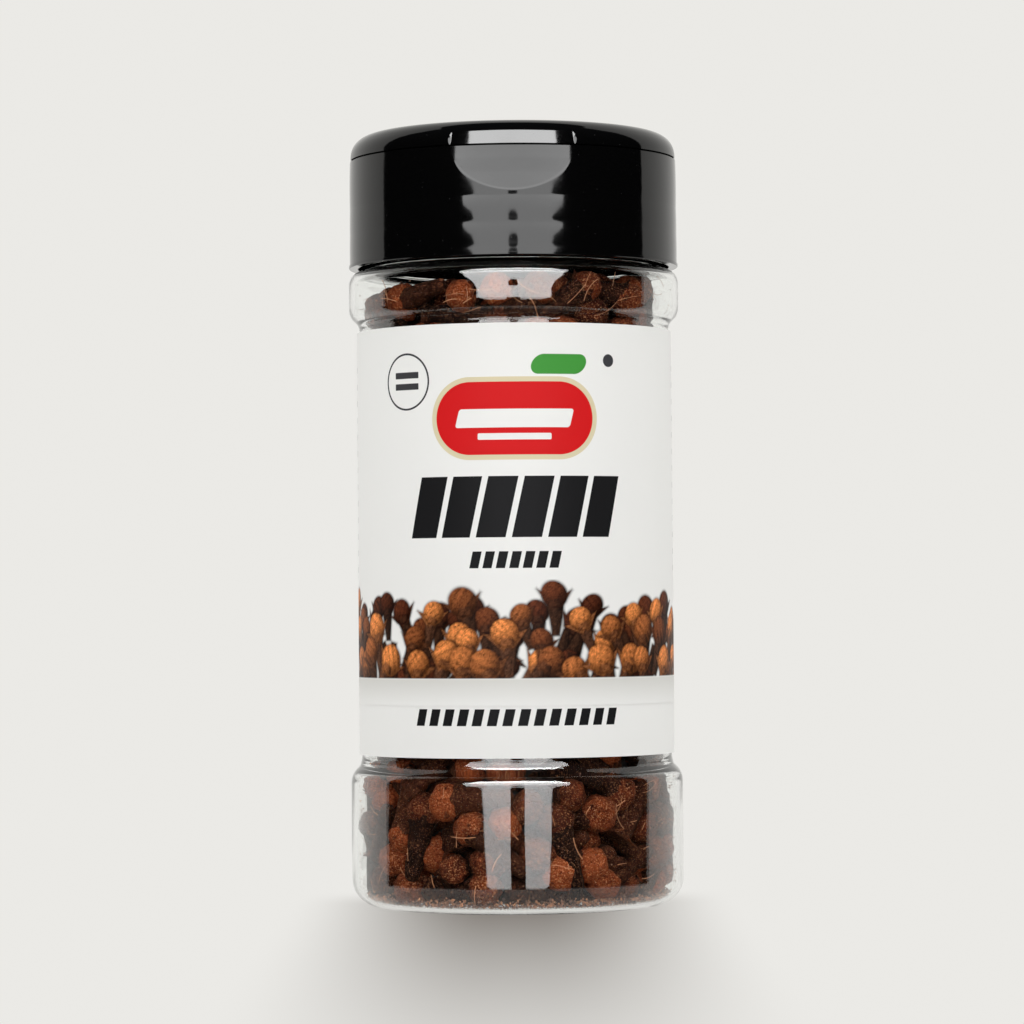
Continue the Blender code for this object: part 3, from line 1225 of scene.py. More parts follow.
@dataclass
class Cap:
    """The black cap: a banded skirt with thumb scoops, two flaps and the bar between them."""

    top_radius: float = 0.02365
    foot_radius: float = 0.02376
    rim_radius: float = 0.02386
    wall: float = 0.0013
    bottom: float = 0.0921
    height: float = 0.1115
    seam: float = 0.10760
    seam_gap: float = 0.00013
    deck: float = 0.00125
    lid_round: float = 0.0032
    crown_radius: float = 0.0125
    crown_rise: float = 0.0003
    crown_round: float = 0.0012
    bar_half_width: float = 0.0036
    bar_inset: float = 0.0001
    bar_sink: float = 0.0004
    crease_heights: tuple[float, ...] = (0.10055, 0.09686, 0.09346)
    usual_band: float = 0.0037
    band_bulge: float = 0.000022
    most_bulge: float = 2.2
    scoop_half_width: float = 0.00875
    scoop_height: float = 0.0064
    scoop_depth: float = 0.00020
    scoop_step: float = 0.000014
    scoop_edge: float = 0.00012
    scoop_fade: float = 0.30
    lip_half_width: float = 0.0089
    lip_height: float = 0.00208
    lip_inset: float = 0.00003
    lip_slope: float = 0.20
    lip_edge: float = 0.00022
    deck_edge: float = 0.0012
    seam_edge: float = 0.00012
    fine_row: float = 0.00012
    fine_depth: float = 0.0074
    coarse_row: float = 0.0003
    coarse_from: float = 0.0076
    skirt_end: float = 0.00044
    rim_top: float = 0.0004
    rim_round: float = 0.0001
    sharp_angle: float = 28.0
    fine_step: float = math.radians(0.3)
    coarse_step: float = math.radians(2.4)
    fine_reach: float = math.radians(27)

    def build(self, finish: BlackPlastic) -> list[bpy.types.Object]:
        """Builds the skirt with its bar, and both flaps, in place of their solids.

        Args:
            finish: The plastic.

        Returns:
            The pieces.
        """
        material = finish.make()
        skirt = add_piece("cap_skirt", self._skirt(), material)
        bar = add_piece("cap_bar", self._lid_part("cap_bar", LidPart.BAR), material)
        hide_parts("cap")
        front_mesh = self._lid_part("lid_front", LidPart.FRONT)
        front = add_piece("lid_front", front_mesh, material)
        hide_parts("flap_front")
        back_mesh = self._lid_part("lid_back", LidPart.BACK)
        back = add_piece("lid_back", back_mesh, material)
        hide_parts("flap_back")
        return [skirt, bar, front, back]

    def _azimuths(self) -> list[float]:
        """Spaces azimuths round the cap, close together at the front and back scoops.

        Returns:
            The azimuths, from the front.
        """
        angles = []
        angle = 0.0
        while angle < math.tau - TINY:
            angles.append(angle)
            off_front = min(angle, math.tau - angle)
            off_back = abs(angle - math.pi)
            fine = min(off_front, off_back) < self.fine_reach
            angle += self.fine_step if fine else self.coarse_step
        return angles

    def _skirt_radius(self, height: float) -> float:
        """Works out the skirt, which bulges a little between its creases.

        Args:
            height: Where to measure.

        Returns:
            Its outer radius.
        """
        share = (height - self.bottom) / (self.seam - self.bottom)
        base = self.foot_radius + (self.top_radius - self.foot_radius) * share
        levels = (self.seam, *self.crease_heights, self.bottom)
        for high, low in zip(levels, levels[1:]):
            if low <= height <= high:
                middle = (2 * height - high - low) / (high - low)
                scale = min(((high - low) / self.usual_band) ** 2, self.most_bulge)
                return base + self.band_bulge * (scale * (1 - middle**2) - 1)
        return base

    def _scoop(self, azimuth: float, height: float) -> float:
        """Works out how far the scoops cut into the skirt, with a fine step along their feet.

        Args:
            azimuth: The way round from the front.
            height: The height.

        Returns:
            The depth of the cut.
        """
        off = min(azimuth, math.tau - azimuth, abs(azimuth - math.pi))
        across = math.sin(off) * self.top_radius / self.scoop_half_width
        down = (self.seam - height) / self.scoop_height
        oval = across**2 + max(down, 0.0) ** 2
        if oval >= 1:
            return 0.0
        edge = min((1 - math.sqrt(oval)) * self.scoop_height / self.scoop_edge, 1.0)
        low = min(max((down - self.scoop_fade) / self.scoop_fade, 0.0), 1.0)
        return self.scoop_step * edge * low + self.scoop_depth * (1 - oval)

    def _skirt(self) -> bpy.types.Mesh:
        """Makes the skirt and deck in one skin.

        Returns:
            The mesh.
        """
        fine_rows = int(self.fine_depth / self.fine_row)
        outer = [self.seam - self.fine_row * k for k in range(1, fine_rows + 1)]
        lowest = self.bottom + self.skirt_end
        outer += list(np.arange(self.seam - self.coarse_from, lowest, -self.coarse_row))
        rows: list[tuple[float, float, bool]] = [
            (0.0, self.seam, False),
            (self.top_radius - self.deck_edge, self.seam, True),
            (self.top_radius - self.seam_edge, self.seam, True),
        ]
        rows += [(self._skirt_radius(z), z, True) for z in outer]
        under = self.seam - self.deck
        rows += [
            (self._skirt_radius(lowest), lowest, False),
            (self.rim_radius, self.bottom + self.rim_top, False),
            (self.rim_radius, self.bottom + self.rim_round, False),
            (self.rim_radius - self.rim_round, self.bottom, False),
            (self.rim_radius - self.wall, self.bottom, False),
            (self.top_radius - self.wall, under, False),
            (0.0, under, False),
        ]
        azimuths = self._azimuths()
        rings = []
        for radius, height, outside in rows:
            ring = []
            for azimuth in azimuths:
                cut = self._scoop(azimuth, height) if outside else 0.0
                reach = max(radius - cut, 0.0)
                ring.append(Vector((math.sin(azimuth) * reach, -math.cos(azimuth) * reach, height)))
            rings.append(ring)
        return skin_mesh("cap_skirt", rings, self.sharp_angle)

    def _lip(self, azimuth: float, height: float) -> float:
        """Works out how far the finger lip's face lies inside a flap's edge.

        Args:
            azimuth: The way round from the front.
            height: The height.

        Returns:
            The distance inwards.
        """
        off = min(azimuth, math.tau - azimuth, abs(azimuth - math.pi))
        across = math.sin(off) * self.top_radius / self.lip_half_width
        if across >= 1:
            return 0.0
        level = height - self.seam - self.seam_gap
        edge = min((1 - across) * self.lip_half_width / self.lip_edge, 1.0)
        return (self.lip_inset * (1 - 0.6 * across**2) + self.lip_slope * level) * edge

    def _lid_part(self, name: str, part: LidPart) -> bpy.types.Mesh:
        """Makes one part of the lid.

        Args:
            name: The mesh's name.
            part: Which part it is.

        Returns:
            The mesh.
        """
        bar = part is LidPart.BAR
        foot = self.seam + (-self.bar_sink if bar else self.seam_gap)
        reach = self.top_radius - (self.bar_inset if bar else 0.0)
        arc = rounded_outline(
            [
                (0.0, self.height, 0.0),
                (self.crown_radius, self.height, self.crown_round),
                (reach, self.height - self.crown_rise, self.lid_round),
                (reach, foot, 0.0),
            ],
            math.radians(5),
        )
        lip_top = self.seam + self.seam_gap + self.lip_height
        row = 0.0001
        upper = [p for p in arc if p.y > lip_top + row]
        heights = np.arange(lip_top, foot - TINY, -row)
        outline = upper + [Vector((self._arc_radius(arc, z), z)) for z in heights] + arc[-1:]
        outline.append(Vector((0.0, foot)))
        azimuths = self._azimuths()
        rings = []
        for point in outline:
            ring = []
            for azimuth in azimuths:
                out = point.x
                if not bar and point.y < lip_top and out > self.crown_radius:
                    out = min(out, self.top_radius - self._lip(azimuth, point.y))
                ring.append(Vector((math.sin(azimuth) * out, -math.cos(azimuth) * out, point.y)))
            rings.append(ring)
        return self._slice(skin_mesh(name, rings, self.sharp_angle), part)

    @staticmethod
    def _arc_radius(arc: Sequence[Vector], height: float) -> float:
        """Measures an outline.

        Args:
            arc: The outline's points, from the top down.
            height: Where to measure.

        Returns:
            The radius there.
        """
        for high, low in zip(arc, arc[1:]):
            if low.y <= height <= high.y and high.y - low.y > TINY:
                return low.x + (high.x - low.x) * (height - low.y) / (high.y - low.y)
        return arc[-1].x

    def _slice(self, mesh: bpy.types.Mesh, part: LidPart) -> bpy.types.Mesh:
        """Cuts the lid flat along the bar and closes the cut.

        Args:
            mesh: The whole lid.
            part: The part to keep.

        Returns:
            The mesh of that part.
        """
        side = part.value
        edge = self.bar_half_width + (self.seam_gap if side else 0.0)
        planes = [(side * edge, -side)] if side else [(way * edge, way) for way in (-1, 1)]
        bm = bmesh.new()
        bm.from_mesh(mesh)
        for place, way in planes:
            cut = bmesh.ops.bisect_plane(
                bm,
                geom=bm.verts[:] + bm.edges[:] + bm.faces[:],
                plane_co=(0, place, 0),
                plane_no=(0, way, 0),
                clear_outer=True,
            )
            rim = [part for part in cut["geom_cut"] if isinstance(part, bmesh.types.BMEdge)]
            bmesh.ops.contextual_create(bm, geom=rim)
        bmesh.ops.recalc_face_normals(bm, faces=bm.faces)
        bm.to_mesh(mesh)
        bm.free()
        return smooth(mesh, self.sharp_angle)


# The cloves


@dataclass
class CloveShape:
    """The form of one clove: a wrinkled stem, four calyx teeth and a round bud."""

    stem_length: float = 0.0088
    tail_radius: float = 0.00100
    waist_radius: float = 0.00140
    neck_radius: float = 0.00185
    bud_radius: float = 0.00262
    bud_height: float = 0.0021
    tooth_length: float = 0.0024
    tooth_width: float = 0.0020
    tooth_thickness: float = 0.0005
    round_steps: int = 14

    def make(self, seed: int) -> tuple[np.ndarray, np.ndarray, np.ndarray]:
        """Makes one clove with its middle at the origin and its bud towards +Z.

        Args:
            seed: Where its random draw starts.

        Returns:
            Its points, its triangles, and for each point how much it belongs to the bud.
        """
        draw = random.Random(seed)
        points: list[Vector] = []
        faces: list[Triangle] = []
        bud: list[float] = []
        self._stem(points, faces, draw)
        bud += [0.0] * len(points)
        for k in range(4):
            self._tooth(points, faces, math.tau * (k + 0.5) / 4 + draw.uniform(-0.1, 0.1), draw)
        bud += [0.25] * (len(points) - len(bud))
        if draw.random() < 0.9:
            self._bud(points, faces, draw)
        bud += [1.0] * (len(points) - len(bud))
        bend = draw.uniform(-10, 10)
        array = np.array([tuple(p) for p in points])
        array[:, 0] += bend * array[:, 2] ** 2
        return array, np.array(faces), np.array(bud)

    def _stem(self, points: list[Vector], faces: list[Triangle], draw: random.Random) -> None:
        """Adds the tapering stem, slightly square with wrinkles along it.

        Args:
            points: The clove's points so far, which it adds to.
            faces: Its triangles so far.
            draw: The random draw.
        """
        half = self.stem_length / 2
        wrinkles = [
            (draw.randrange(5, 11), draw.uniform(0, math.tau), draw.uniform(0.02, 0.05))
            for _ in range(3)
        ]
        stations = (
            (-half, 0.35),
            (-half + 0.0004, 0.85),
            (-half * 0.72, 1.0),
            (-half * 0.40, 1.05),
            (-half * 0.05, 1.0),
            (half * 0.30, 1.0),
            (half * 0.62, 1.02),
            (half * 0.90, 1.08),
            (half + 0.0008, 1.12),
        )
        rings = []
        for height, swell in stations:
            share = (height + half) / self.stem_length
            radius = self.tail_radius + (self.neck_radius - self.tail_radius) * share
            radius *= swell * draw.uniform(0.95, 1.06)
            ring = []
            for k in range(self.round_steps):
                angle = math.tau * k / self.round_steps
                ripple = 1 + 0.05 * math.cos(4 * angle)
                for count, phase, depth in wrinkles:
                    ripple += depth * math.cos(count * angle + phase + 400 * height)
                reach = radius * ripple
                x = math.cos(angle) * reach * 1.06
                y = math.sin(angle) * reach * 0.94
                ring.append(Vector((x, y, height)))
            rings.append(ring)
        self._skin(points, faces, rings)

    def _tooth(
        self, points: list[Vector], faces: list[Triangle], azimuth: float, draw: random.Random
    ) -> None:
        """Adds one pointed calyx tooth that clasps the bud.

        Args:
            points: The clove's points so far, which it adds to.
            faces: Its triangles so far.
            azimuth: Its way round the stem.
            draw: The random draw.
        """
        base = self.stem_length / 2 - 0.0004
        spread = draw.uniform(0.6, 1.15)
        length = self.tooth_length * draw.uniform(0.8, 1.1)
        out = Vector((math.cos(azimuth), math.sin(azimuth), 0.0))
        side = Vector((-math.sin(azimuth), math.cos(azimuth), 0.0))
        rings = []
        spine = out * (self.neck_radius * 0.72) + Vector((0, 0, base))
        for step in range(5):
            share = step / 4
            angle = spread * (0.35 + 0.9 * share)
            ahead = out * math.sin(angle) + Vector((0, 0, math.cos(angle)))
            if step:
                spine = spine + ahead * (length / 4)
            outward = out * math.cos(angle) - Vector((0, 0, math.sin(angle)))
            width = self.tooth_width / 2 * (1 - share**1.6) + 0.00010
            thick = self.tooth_thickness / 2 * (1.2 - 0.9 * share)
            ring = []
            for k in range(8):
                turn = math.tau * k / 8
                ring.append(spine + side * (math.cos(turn) * width) + outward * (math.sin(turn) * thick))
            rings.append(ring)
        self._skin(points, faces, rings)

    def _bud(self, points: list[Vector], faces: list[Triangle], draw: random.Random) -> None:
        """Adds the round bud of four folded petals.

        Args:
            points: The clove's points so far, which it adds to.
            faces: Its triangles so far.
            draw: The random draw.
        """
        centre = self.stem_length / 2 + self.bud_height * 0.72
        size = draw.uniform(0.92, 1.07)
        lobes = [draw.uniform(0.95, 1.05) for _ in range(4)]
        steps = self.round_steps + 6
        rings = []
        for i in range(1, 11):
            polar = math.pi * (1 - i / 10.8)
            ring = []
            for k in range(steps):
                angle = math.tau * k / steps
                quarter = (angle / (math.pi / 2)) % 1.0
                fold = min(quarter, 1 - quarter)
                crease = 1 - 0.07 * math.exp(-((fold / 0.09) ** 2)) * math.sin(polar)
                lump = 1 + 0.035 * math.sin(3 * angle + 5 * polar + lobes[0] * 60)
                lump += 0.02 * math.sin(7 * angle - 4 * polar + lobes[1] * 90)
                petal = lobes[int(angle / (math.pi / 2)) % 4] ** 0.5
                reach = self.bud_radius * size * crease * lump * petal
                x = math.sin(polar) * math.cos(angle) * reach
                y = math.sin(polar) * math.sin(angle) * reach
                ring.append(Vector((x, y, centre + math.cos(polar) * reach * 0.93)))
            rings.append(ring)
        self._skin(points, faces, rings)

    @staticmethod
    def _skin(
        points: list[Vector], faces: list[Triangle], rings: Sequence[Sequence[Vector]]
    ) -> None:
        """Adds rings joined by triangles, with both ends closed by a fan.

        Args:
            points: The clove's points so far, which it adds to.
            faces: Its triangles so far.
            rings: Closed rings of points, each with the same number.
        """
        start = len(points)
        width = len(rings[0])
        for ring in rings:
            points.extend(ring)
        for i in range(len(rings) - 1):
            for k in range(width):
                after = (k + 1) % width
                a, b = start + i * width + k, start + i * width + after
                faces.append((a, b, b + width))
                faces.append((a, b + width, a + width))
        last = start + (len(rings) - 1) * width
        for ring, first, turn in ((rings[0], start, True), (rings[-1], last, False)):
            middle = len(points)
            points.append(sum(ring, Vector()) / width)
            for k in range(width):
                a, b = first + k, first + (k + 1) % width
                faces.append((middle, b, a) if turn else (middle, a, b))


@dataclass
class Zone:
    """A stretch of the jar to fill, outside a core's radius; its ceiling leans up towards +X."""

    name: str
    floor: float
    ceiling: float
    core: float
    count: int
    seed: int
    lean: float = 0.0


@dataclass
class Heap:
    """The cloves, their crumbs and fibres, and the core behind them."""

    jar: Jar
    shape: CloveShape = field(default_factory=CloveShape)
    clearance: float = 0.00030
    beads: tuple[tuple[float, float], ...] = (
        (-0.0038, 0.00105),
        (-0.0020, 0.00130),
        (0.0, 0.00150),
        (0.0020, 0.00170),
        (0.0042, 0.00240),
        (0.0059, 0.00262),
    )
    rounds: int = 260
    kinds: int = 9
    heap_top: float = 0.0883
    overlap: float = 0.93
    haste: float = 1.7
    drift: float = 0.00012
    headroom: float = 0.0016
    core_gap: float = 0.001
    skin_gap: float = 0.0001
    floor_gap: float = 0.00005
    crumbs: int = 5200
    crumb_pile: float = 0.0006
    crumb_depth: float = 0.0010
    crumb_sizes: tuple[float, float] = (0.00007, 0.00030)
    stuck_sizes: tuple[float, float] = (0.00005, 0.00012)
    stuck_tops: tuple[float, float] = (0.0200, 0.0905)
    fibres: int = 150
    fibre_steps: int = 10
    fibre_gap: float = 0.0002
    fibre_low: tuple[float, float] = (0.0035, 0.0195)
    fibre_high: tuple[float, float] = (0.0850, 0.0885)
    fibre_lengths: tuple[float, float] = (0.0012, 0.0042)
    fibre_halves: tuple[float, float] = (0.00003, 0.00007)

    def zones(self) -> tuple[Zone, ...]:
        """Gives the two stretches that the clear plastic shows.

        Returns:
            The lower and the upper one.
        """
        floor = self.jar.push_up + self.jar.base_thickness + self.skin_gap
        return (
            Zone("cloves_low", floor, 0.0262, 0.0120, 165, 11),
            Zone("cloves_high", 0.0785, self.heap_top, 0.0095, 90, 23, 0.06),
        )

    def build(self) -> list[bpy.types.Object]:
        """Builds the whole heap in place of its solid.

        Returns:
            The pieces.
        """
        skin = CloveSkin().make()
        pieces = []
        for zone in self.zones():
            middles, axes = self._settle(zone)
            pieces.append(add_piece(zone.name, self._cloves(zone, middles, axes), skin))
        core = self._core()
        pieces.append(core)
        crumb_skin = CrumbSkin().make()
        pieces.append(add_piece("clove_crumbs", self._crumbs(5), crumb_skin))
        pieces.append(add_piece("clove_fibres", self._fibres(9), crumb_skin))
        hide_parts("cloves")
        return pieces

    def _limits(self) -> tuple[np.ndarray, list[np.ndarray]]:
        """Works out how far from the axis each bead's middle may be.

        Returns:
            Many heights, and each bead's limits at them.
        """
        heights = np.linspace(0.0, 0.0915, 916)
        tables = []
        for _, radius in self.beads:
            radius = radius + self.clearance
            offsets = np.linspace(-radius, radius, 15)
            reach = np.sqrt(np.maximum(radius**2 - offsets**2, 0))
            walls = [self.jar.inner_radius(heights + o) - r for o, r in zip(offsets, reach)]
            tables.append(np.min(walls, axis=0))
        return heights, tables

    def _settle(self, zone: Zone) -> tuple[np.ndarray, np.ndarray]:
        """Packs cloves into a zone, each as a stiff row of beads that push one another apart.

        Args:
            zone: The stretch to fill.

        Returns:
            The middle and the direction of each clove.
        """
        rng = np.random.default_rng(zone.seed)
        heights, tables = self._limits()
        along = np.array([b[0] for b in self.beads])
        radii = np.array([b[1] for b in self.beads])
        count = zone.count
        azimuth = rng.uniform(0, math.tau, count)
        outer = self.jar.bulge_radius - 0.003
        far = np.sqrt(rng.uniform(zone.core**2, outer**2, count))
        level = rng.uniform(zone.floor, zone.ceiling, count)
        middles = np.stack([np.cos(azimuth) * far, np.sin(azimuth) * far, level], axis=1)
        axes = rng.normal(size=(count, 3))
        axes[:, :2] += 0.5 * middles[:, :2] / far[:, None]
        axes /= np.linalg.norm(axes, axis=1, keepdims=True)
        bead_radius = np.tile(radii, count)
        owner = np.repeat(np.arange(count), len(radii))
        kind = np.tile(np.arange(len(radii)), count)
        sum_radii = (bead_radius[:, None] + bead_radius[None, :]) * self.overlap
        same = owner[:, None] == owner[None, :]
        sum_radii[same] = 0.0
        spread = float(np.sum((along - along.mean()) ** 2))
        for step in range(self.rounds):
            spots = (middles[:, None] + axes[:, None] * along[None, :, None]).reshape(-1, 3)
            apart = spots[:, None] - spots[None, :]
            distance = np.sqrt(np.einsum("ijk,ijk->ij", apart, apart)) + 1e-9
            over = np.maximum(sum_radii - distance, 0.0)
            push = 0.5 * np.einsum("ij,ijk->ik", over / distance, apart)
            touching = np.maximum((over > 0).sum(axis=1), 1)
            moved = spots + push / touching[:, None] * self.haste
            settle = 1.0 - step / self.rounds
            moved[:, 2] -= self.drift * settle
            flat = np.linalg.norm(moved[:, :2], axis=1) + 1e-9
            moved[:, :2] *= (1 + self.drift * settle / flat)[:, None]
            self._confine(moved, kind, bead_radius, heights, tables, zone)
            moved = moved.reshape(count, len(radii), 3)
            centre = moved.mean(axis=1)
            direction = np.einsum("k,nkc->nc", along - along.mean(), moved - centre[:, None]) / spread
            axes = direction / np.linalg.norm(direction, axis=1, keepdims=True)
            middles = centre - axes * along.mean()
        return self._clear_of_wall(middles, axes, heights, tables)

    def _confine(
        self,
        spots: np.ndarray,
        kind: np.ndarray,
        radius: np.ndarray,
        heights: np.ndarray,
        tables: list[np.ndarray],
        zone: Zone,
    ) -> None:
        """Moves beads back inside the wall, above the floor, below the ceiling and off the core.

        Args:
            spots: The beads' middles, which it changes.
            kind: Each bead's place in its row.
            radius: Each bead's radius.
            heights: The heights of the tables.
            tables: The limits of each kind of bead.
            zone: The stretch to fill.
        """
        ceiling = zone.ceiling + self.headroom + zone.lean * spots[:, 0]
        spots[:, 2] = np.clip(spots[:, 2], zone.floor + radius, ceiling - radius)
        far = np.linalg.norm(spots[:, :2], axis=1) + 1e-9
        limit = np.empty_like(far)
        for k, table in enumerate(tables):
            chosen = kind == k
            limit[chosen] = np.interp(spots[chosen, 2], heights, table)
        wanted = np.minimum(np.maximum(far, zone.core + self.core_gap), limit)
        spots[:, :2] *= (wanted / far)[:, None]

    def _clear_of_wall(
        self, middles: np.ndarray, axes: np.ndarray, heights: np.ndarray, tables: list[np.ndarray]
    ) -> tuple[np.ndarray, np.ndarray]:
        """Moves each clove as a whole until no bead is past the wall.

        Args:
            middles: The cloves' middles.
            axes: Their directions.
            heights: The heights of the tables.
            tables: The limits of each kind of bead.

        Returns:
            The middles and the directions.
        """
        for _ in range(4):
            for k, (offset, _) in enumerate(self.beads):
                spots = middles + axes * offset
                far = np.linalg.norm(spots[:, :2], axis=1) + 1e-9
                over = np.maximum(far - np.interp(spots[:, 2], heights, tables[k]), 0)
                middles[:, :2] -= spots[:, :2] / far[:, None] * over[:, None]
        return middles, axes

    def _cloves(self, zone: Zone, middles: np.ndarray, axes: np.ndarray) -> bpy.types.Mesh:
        """Joins a zone's cloves into one mesh that stores their tones.

        Args:
            zone: The stretch they fill.
            middles: Their middles.
            axes: Their directions.

        Returns:
            The mesh.
        """
        draw = random.Random(zone.seed)
        kinds = [self.shape.make(zone.seed * 31 + k) for k in range(self.kinds)]
        points, faces, bud, tone = [], [], [], []
        start = 0
        for middle, axis in zip(middles, axes):
            own_points, own_faces, own_bud = kinds[draw.randrange(self.kinds)]
            turn = Vector(axis).to_track_quat("Z", "Y").to_matrix()
            turn = turn @ Matrix.Rotation(draw.uniform(0, math.tau), 3, "Z")
            size = draw.uniform(0.90, 1.04)
            placed = own_points @ np.array(turn).T * size + middle
            points.append(placed)
            faces.append(own_faces + start)
            bud.append(own_bud)
            tone.append(np.full(len(placed), draw.uniform(0.0, 1.0)))
            start += len(placed)
        joined = np.concatenate(points)
        self._keep_inside(joined)
        mesh = bpy.data.meshes.new(zone.name)
        mesh.from_pydata(joined, [], np.concatenate(faces))
        mesh.update()
        store(mesh, "head", np.concatenate(bud))
        store(mesh, "tone", np.concatenate(tone))
        return smooth(mesh, 55.0)

    def _keep_inside(self, points: np.ndarray) -> None:
        """Presses any point that would touch the plastic back inside it.

        Args:
            points: The points, which it changes.
        """
        far = np.linalg.norm(points[:, :2], axis=1) + 1e-9
        limit = self.jar.inner_radius(points[:, 2]) - self.skin_gap
        points[:, :2] *= np.minimum(1.0, limit / far)[:, None]
        floor = self.jar.push_up + self.jar.base_thickness + self.floor_gap
        points[:, 2] = np.maximum(points[:, 2], floor)

    def _core(self) -> bpy.types.Object:
        """Builds the dark heap behind the cloves that show, lumpy and uneven on top.

        Returns:
            The core.
        """
        low, high = self.zones()
        middle = self.jar.panel_radius - self.jar.wall - 0.0012
        floor = low.floor + 0.0004
        corners = [
            (0.0, floor, 0.0),
            (0.0172, floor, 0.0010),
            (low.core + 0.0050, 0.0060, 0.0),
            (low.core + 0.0045, 0.0235, 0.0010),
            (middle, 0.0265, 0.0),
            (middle, 0.0780, 0.0),
            (high.core + 0.0055, 0.0815, 0.0010),
            (high.core + 0.0050, self.heap_top - 0.0026, 0.0010),
            (0.0, self.heap_top - 0.0012, 0.0),
        ]
        mesh = turned_mesh("heap_core", rounded_outline(corners, math.radians(20)), 96)
        rng = np.random.default_rng(3)
        waves = rng.uniform(-1, 1, (14, 3)) * 900
        phases = rng.uniform(0, math.tau, 14)
        for vert in mesh.vertices:
            lift = sum(math.sin(vert.co.dot(Vector(w)) + p) for w, p in zip(waves, phases)) / 14
            vert.co.x *= 1 + 0.05 * lift
            vert.co.y *= 1 + 0.05 * lift
        return add_piece("heap_core", mesh, CoreSkin().make())

    def _crumbs(self, seed: int) -> bpy.types.Mesh:
        """Scatters chips and dust on the floor along the wall, and a few on the plastic.

        Args:
            seed: Where the random draw starts.

        Returns:
            The mesh.
        """
        draw = random.Random(seed)
        floor = self.jar.push_up + self.jar.base_thickness
        points: list[Vector] = []
        faces: list[Triangle] = []
        tones: list[float] = []
        for k in range(self.crumbs):
            azimuth = draw.uniform(0, math.tau)
            if k % 5:
                height = floor + abs(draw.gauss(0.0, self.crumb_pile)) + self.skin_gap
                least, more = self.crumb_sizes
                size = least + more * draw.random() ** 2
            else:
                height = draw.uniform(floor, self.stuck_tops[k % 2])
                least, more = self.stuck_sizes
                size = least + more * draw.random() ** 3
            wall = float(self.jar.inner_radius(np.array([height]))[0])
            back = abs(draw.gauss(0, self.crumb_depth)) if k % 5 else 0.0
            reach = wall - size * 1.4 - self.skin_gap - back
            spot = Vector((math.cos(azimuth) * reach, math.sin(azimuth) * reach, height + size * 0.5))
            self._chip(points, faces, spot, size, draw)
            tones += [draw.uniform(0, 1)] * (len(points) - len(tones))
        return self._loose_mesh("clove_crumbs", points, faces, tones)

    @staticmethod
    def _chip(
        points: list[Vector],
        faces: list[Triangle],
        spot: Vector,
        size: float,
        draw: random.Random,
    ) -> None:
        """Adds one crumb, an uneven eight-sided lump.

        Args:
            points: The crumbs' points so far, which it adds to.
            faces: Their triangles so far.
            spot: The crumb's middle.
            size: Its rough radius.
            draw: The random draw.
        """
        start = len(points)
        turn = Euler([draw.uniform(0, math.tau) for _ in range(3)]).to_matrix()
        for way in ((1, 0, 0), (0, 1, 0), (-1, 0, 0), (0, -1, 0), (0, 0, 1), (0, 0, -1)):
            points.append(spot + turn @ Vector(way) * (size * draw.uniform(0.5, 1.3)))
        for k in range(4):
            after = (k + 1) % 4
            faces.append((start + k, start + after, start + 4))
            faces.append((start + after, start + k, start + 5))

    def _fibres(self, seed: int) -> bpy.types.Mesh:
        """Draws thin curved threads that lie against the plastic.

        Args:
            seed: Where the random draw starts.

        Returns:
            The mesh.
        """
        draw = random.Random(seed)
        points: list[Vector] = []
        faces: list[Triangle] = []
        tones: list[float] = []
        for k in range(self.fibres):
            azimuth = draw.uniform(0, math.tau)
            height = draw.uniform(*(self.fibre_low if k % 4 else self.fibre_high))
            heading = draw.uniform(0, math.tau)
            curl = draw.uniform(-900, 900)
            length = draw.uniform(*self.fibre_lengths)
            half = draw.uniform(*self.fibre_halves)
            start = len(points)
            steps = self.fibre_steps
            for step in range(steps + 1):
                heading += curl * length / steps / 3
                azimuth += math.cos(heading) * length / steps / 0.0225
                height += math.sin(heading) * length / steps
                wall = float(self.jar.inner_radius(np.array([height]))[0]) - self.fibre_gap - half
                across = Vector((-math.sin(heading), math.cos(heading)))
                for way in (-1, 1):
                    turn = azimuth + way * across.x * half / wall
                    rise = height + way * across.y * half
                    points.append(Vector((math.cos(turn) * wall, math.sin(turn) * wall, rise)))
            for step in range(steps):
                a = start + 2 * step
                faces += [(a, a + 1, a + 3), (a, a + 3, a + 2)]
            tones += [draw.uniform(0.55, 1.3)] * (len(points) - len(tones))
        return self._loose_mesh("clove_fibres", points, faces, tones)

    @staticmethod
    def _loose_mesh(
        name: str, points: list[Vector], faces: list[Triangle], tones: list[float]
    ) -> bpy.types.Mesh:
        """Makes a mesh of many loose bits that stores their tones.

        Args:
            name: The mesh's name.
            points: Its points.
            faces: Its triangles.
            tones: The tone of each point.

        Returns:
            The mesh.
        """
        mesh = bpy.data.meshes.new(name)
        mesh.from_pydata([tuple(p) for p in points], [], faces)
        mesh.update()
        store(mesh, "tone", np.array(tones))
        return mesh


# The studio


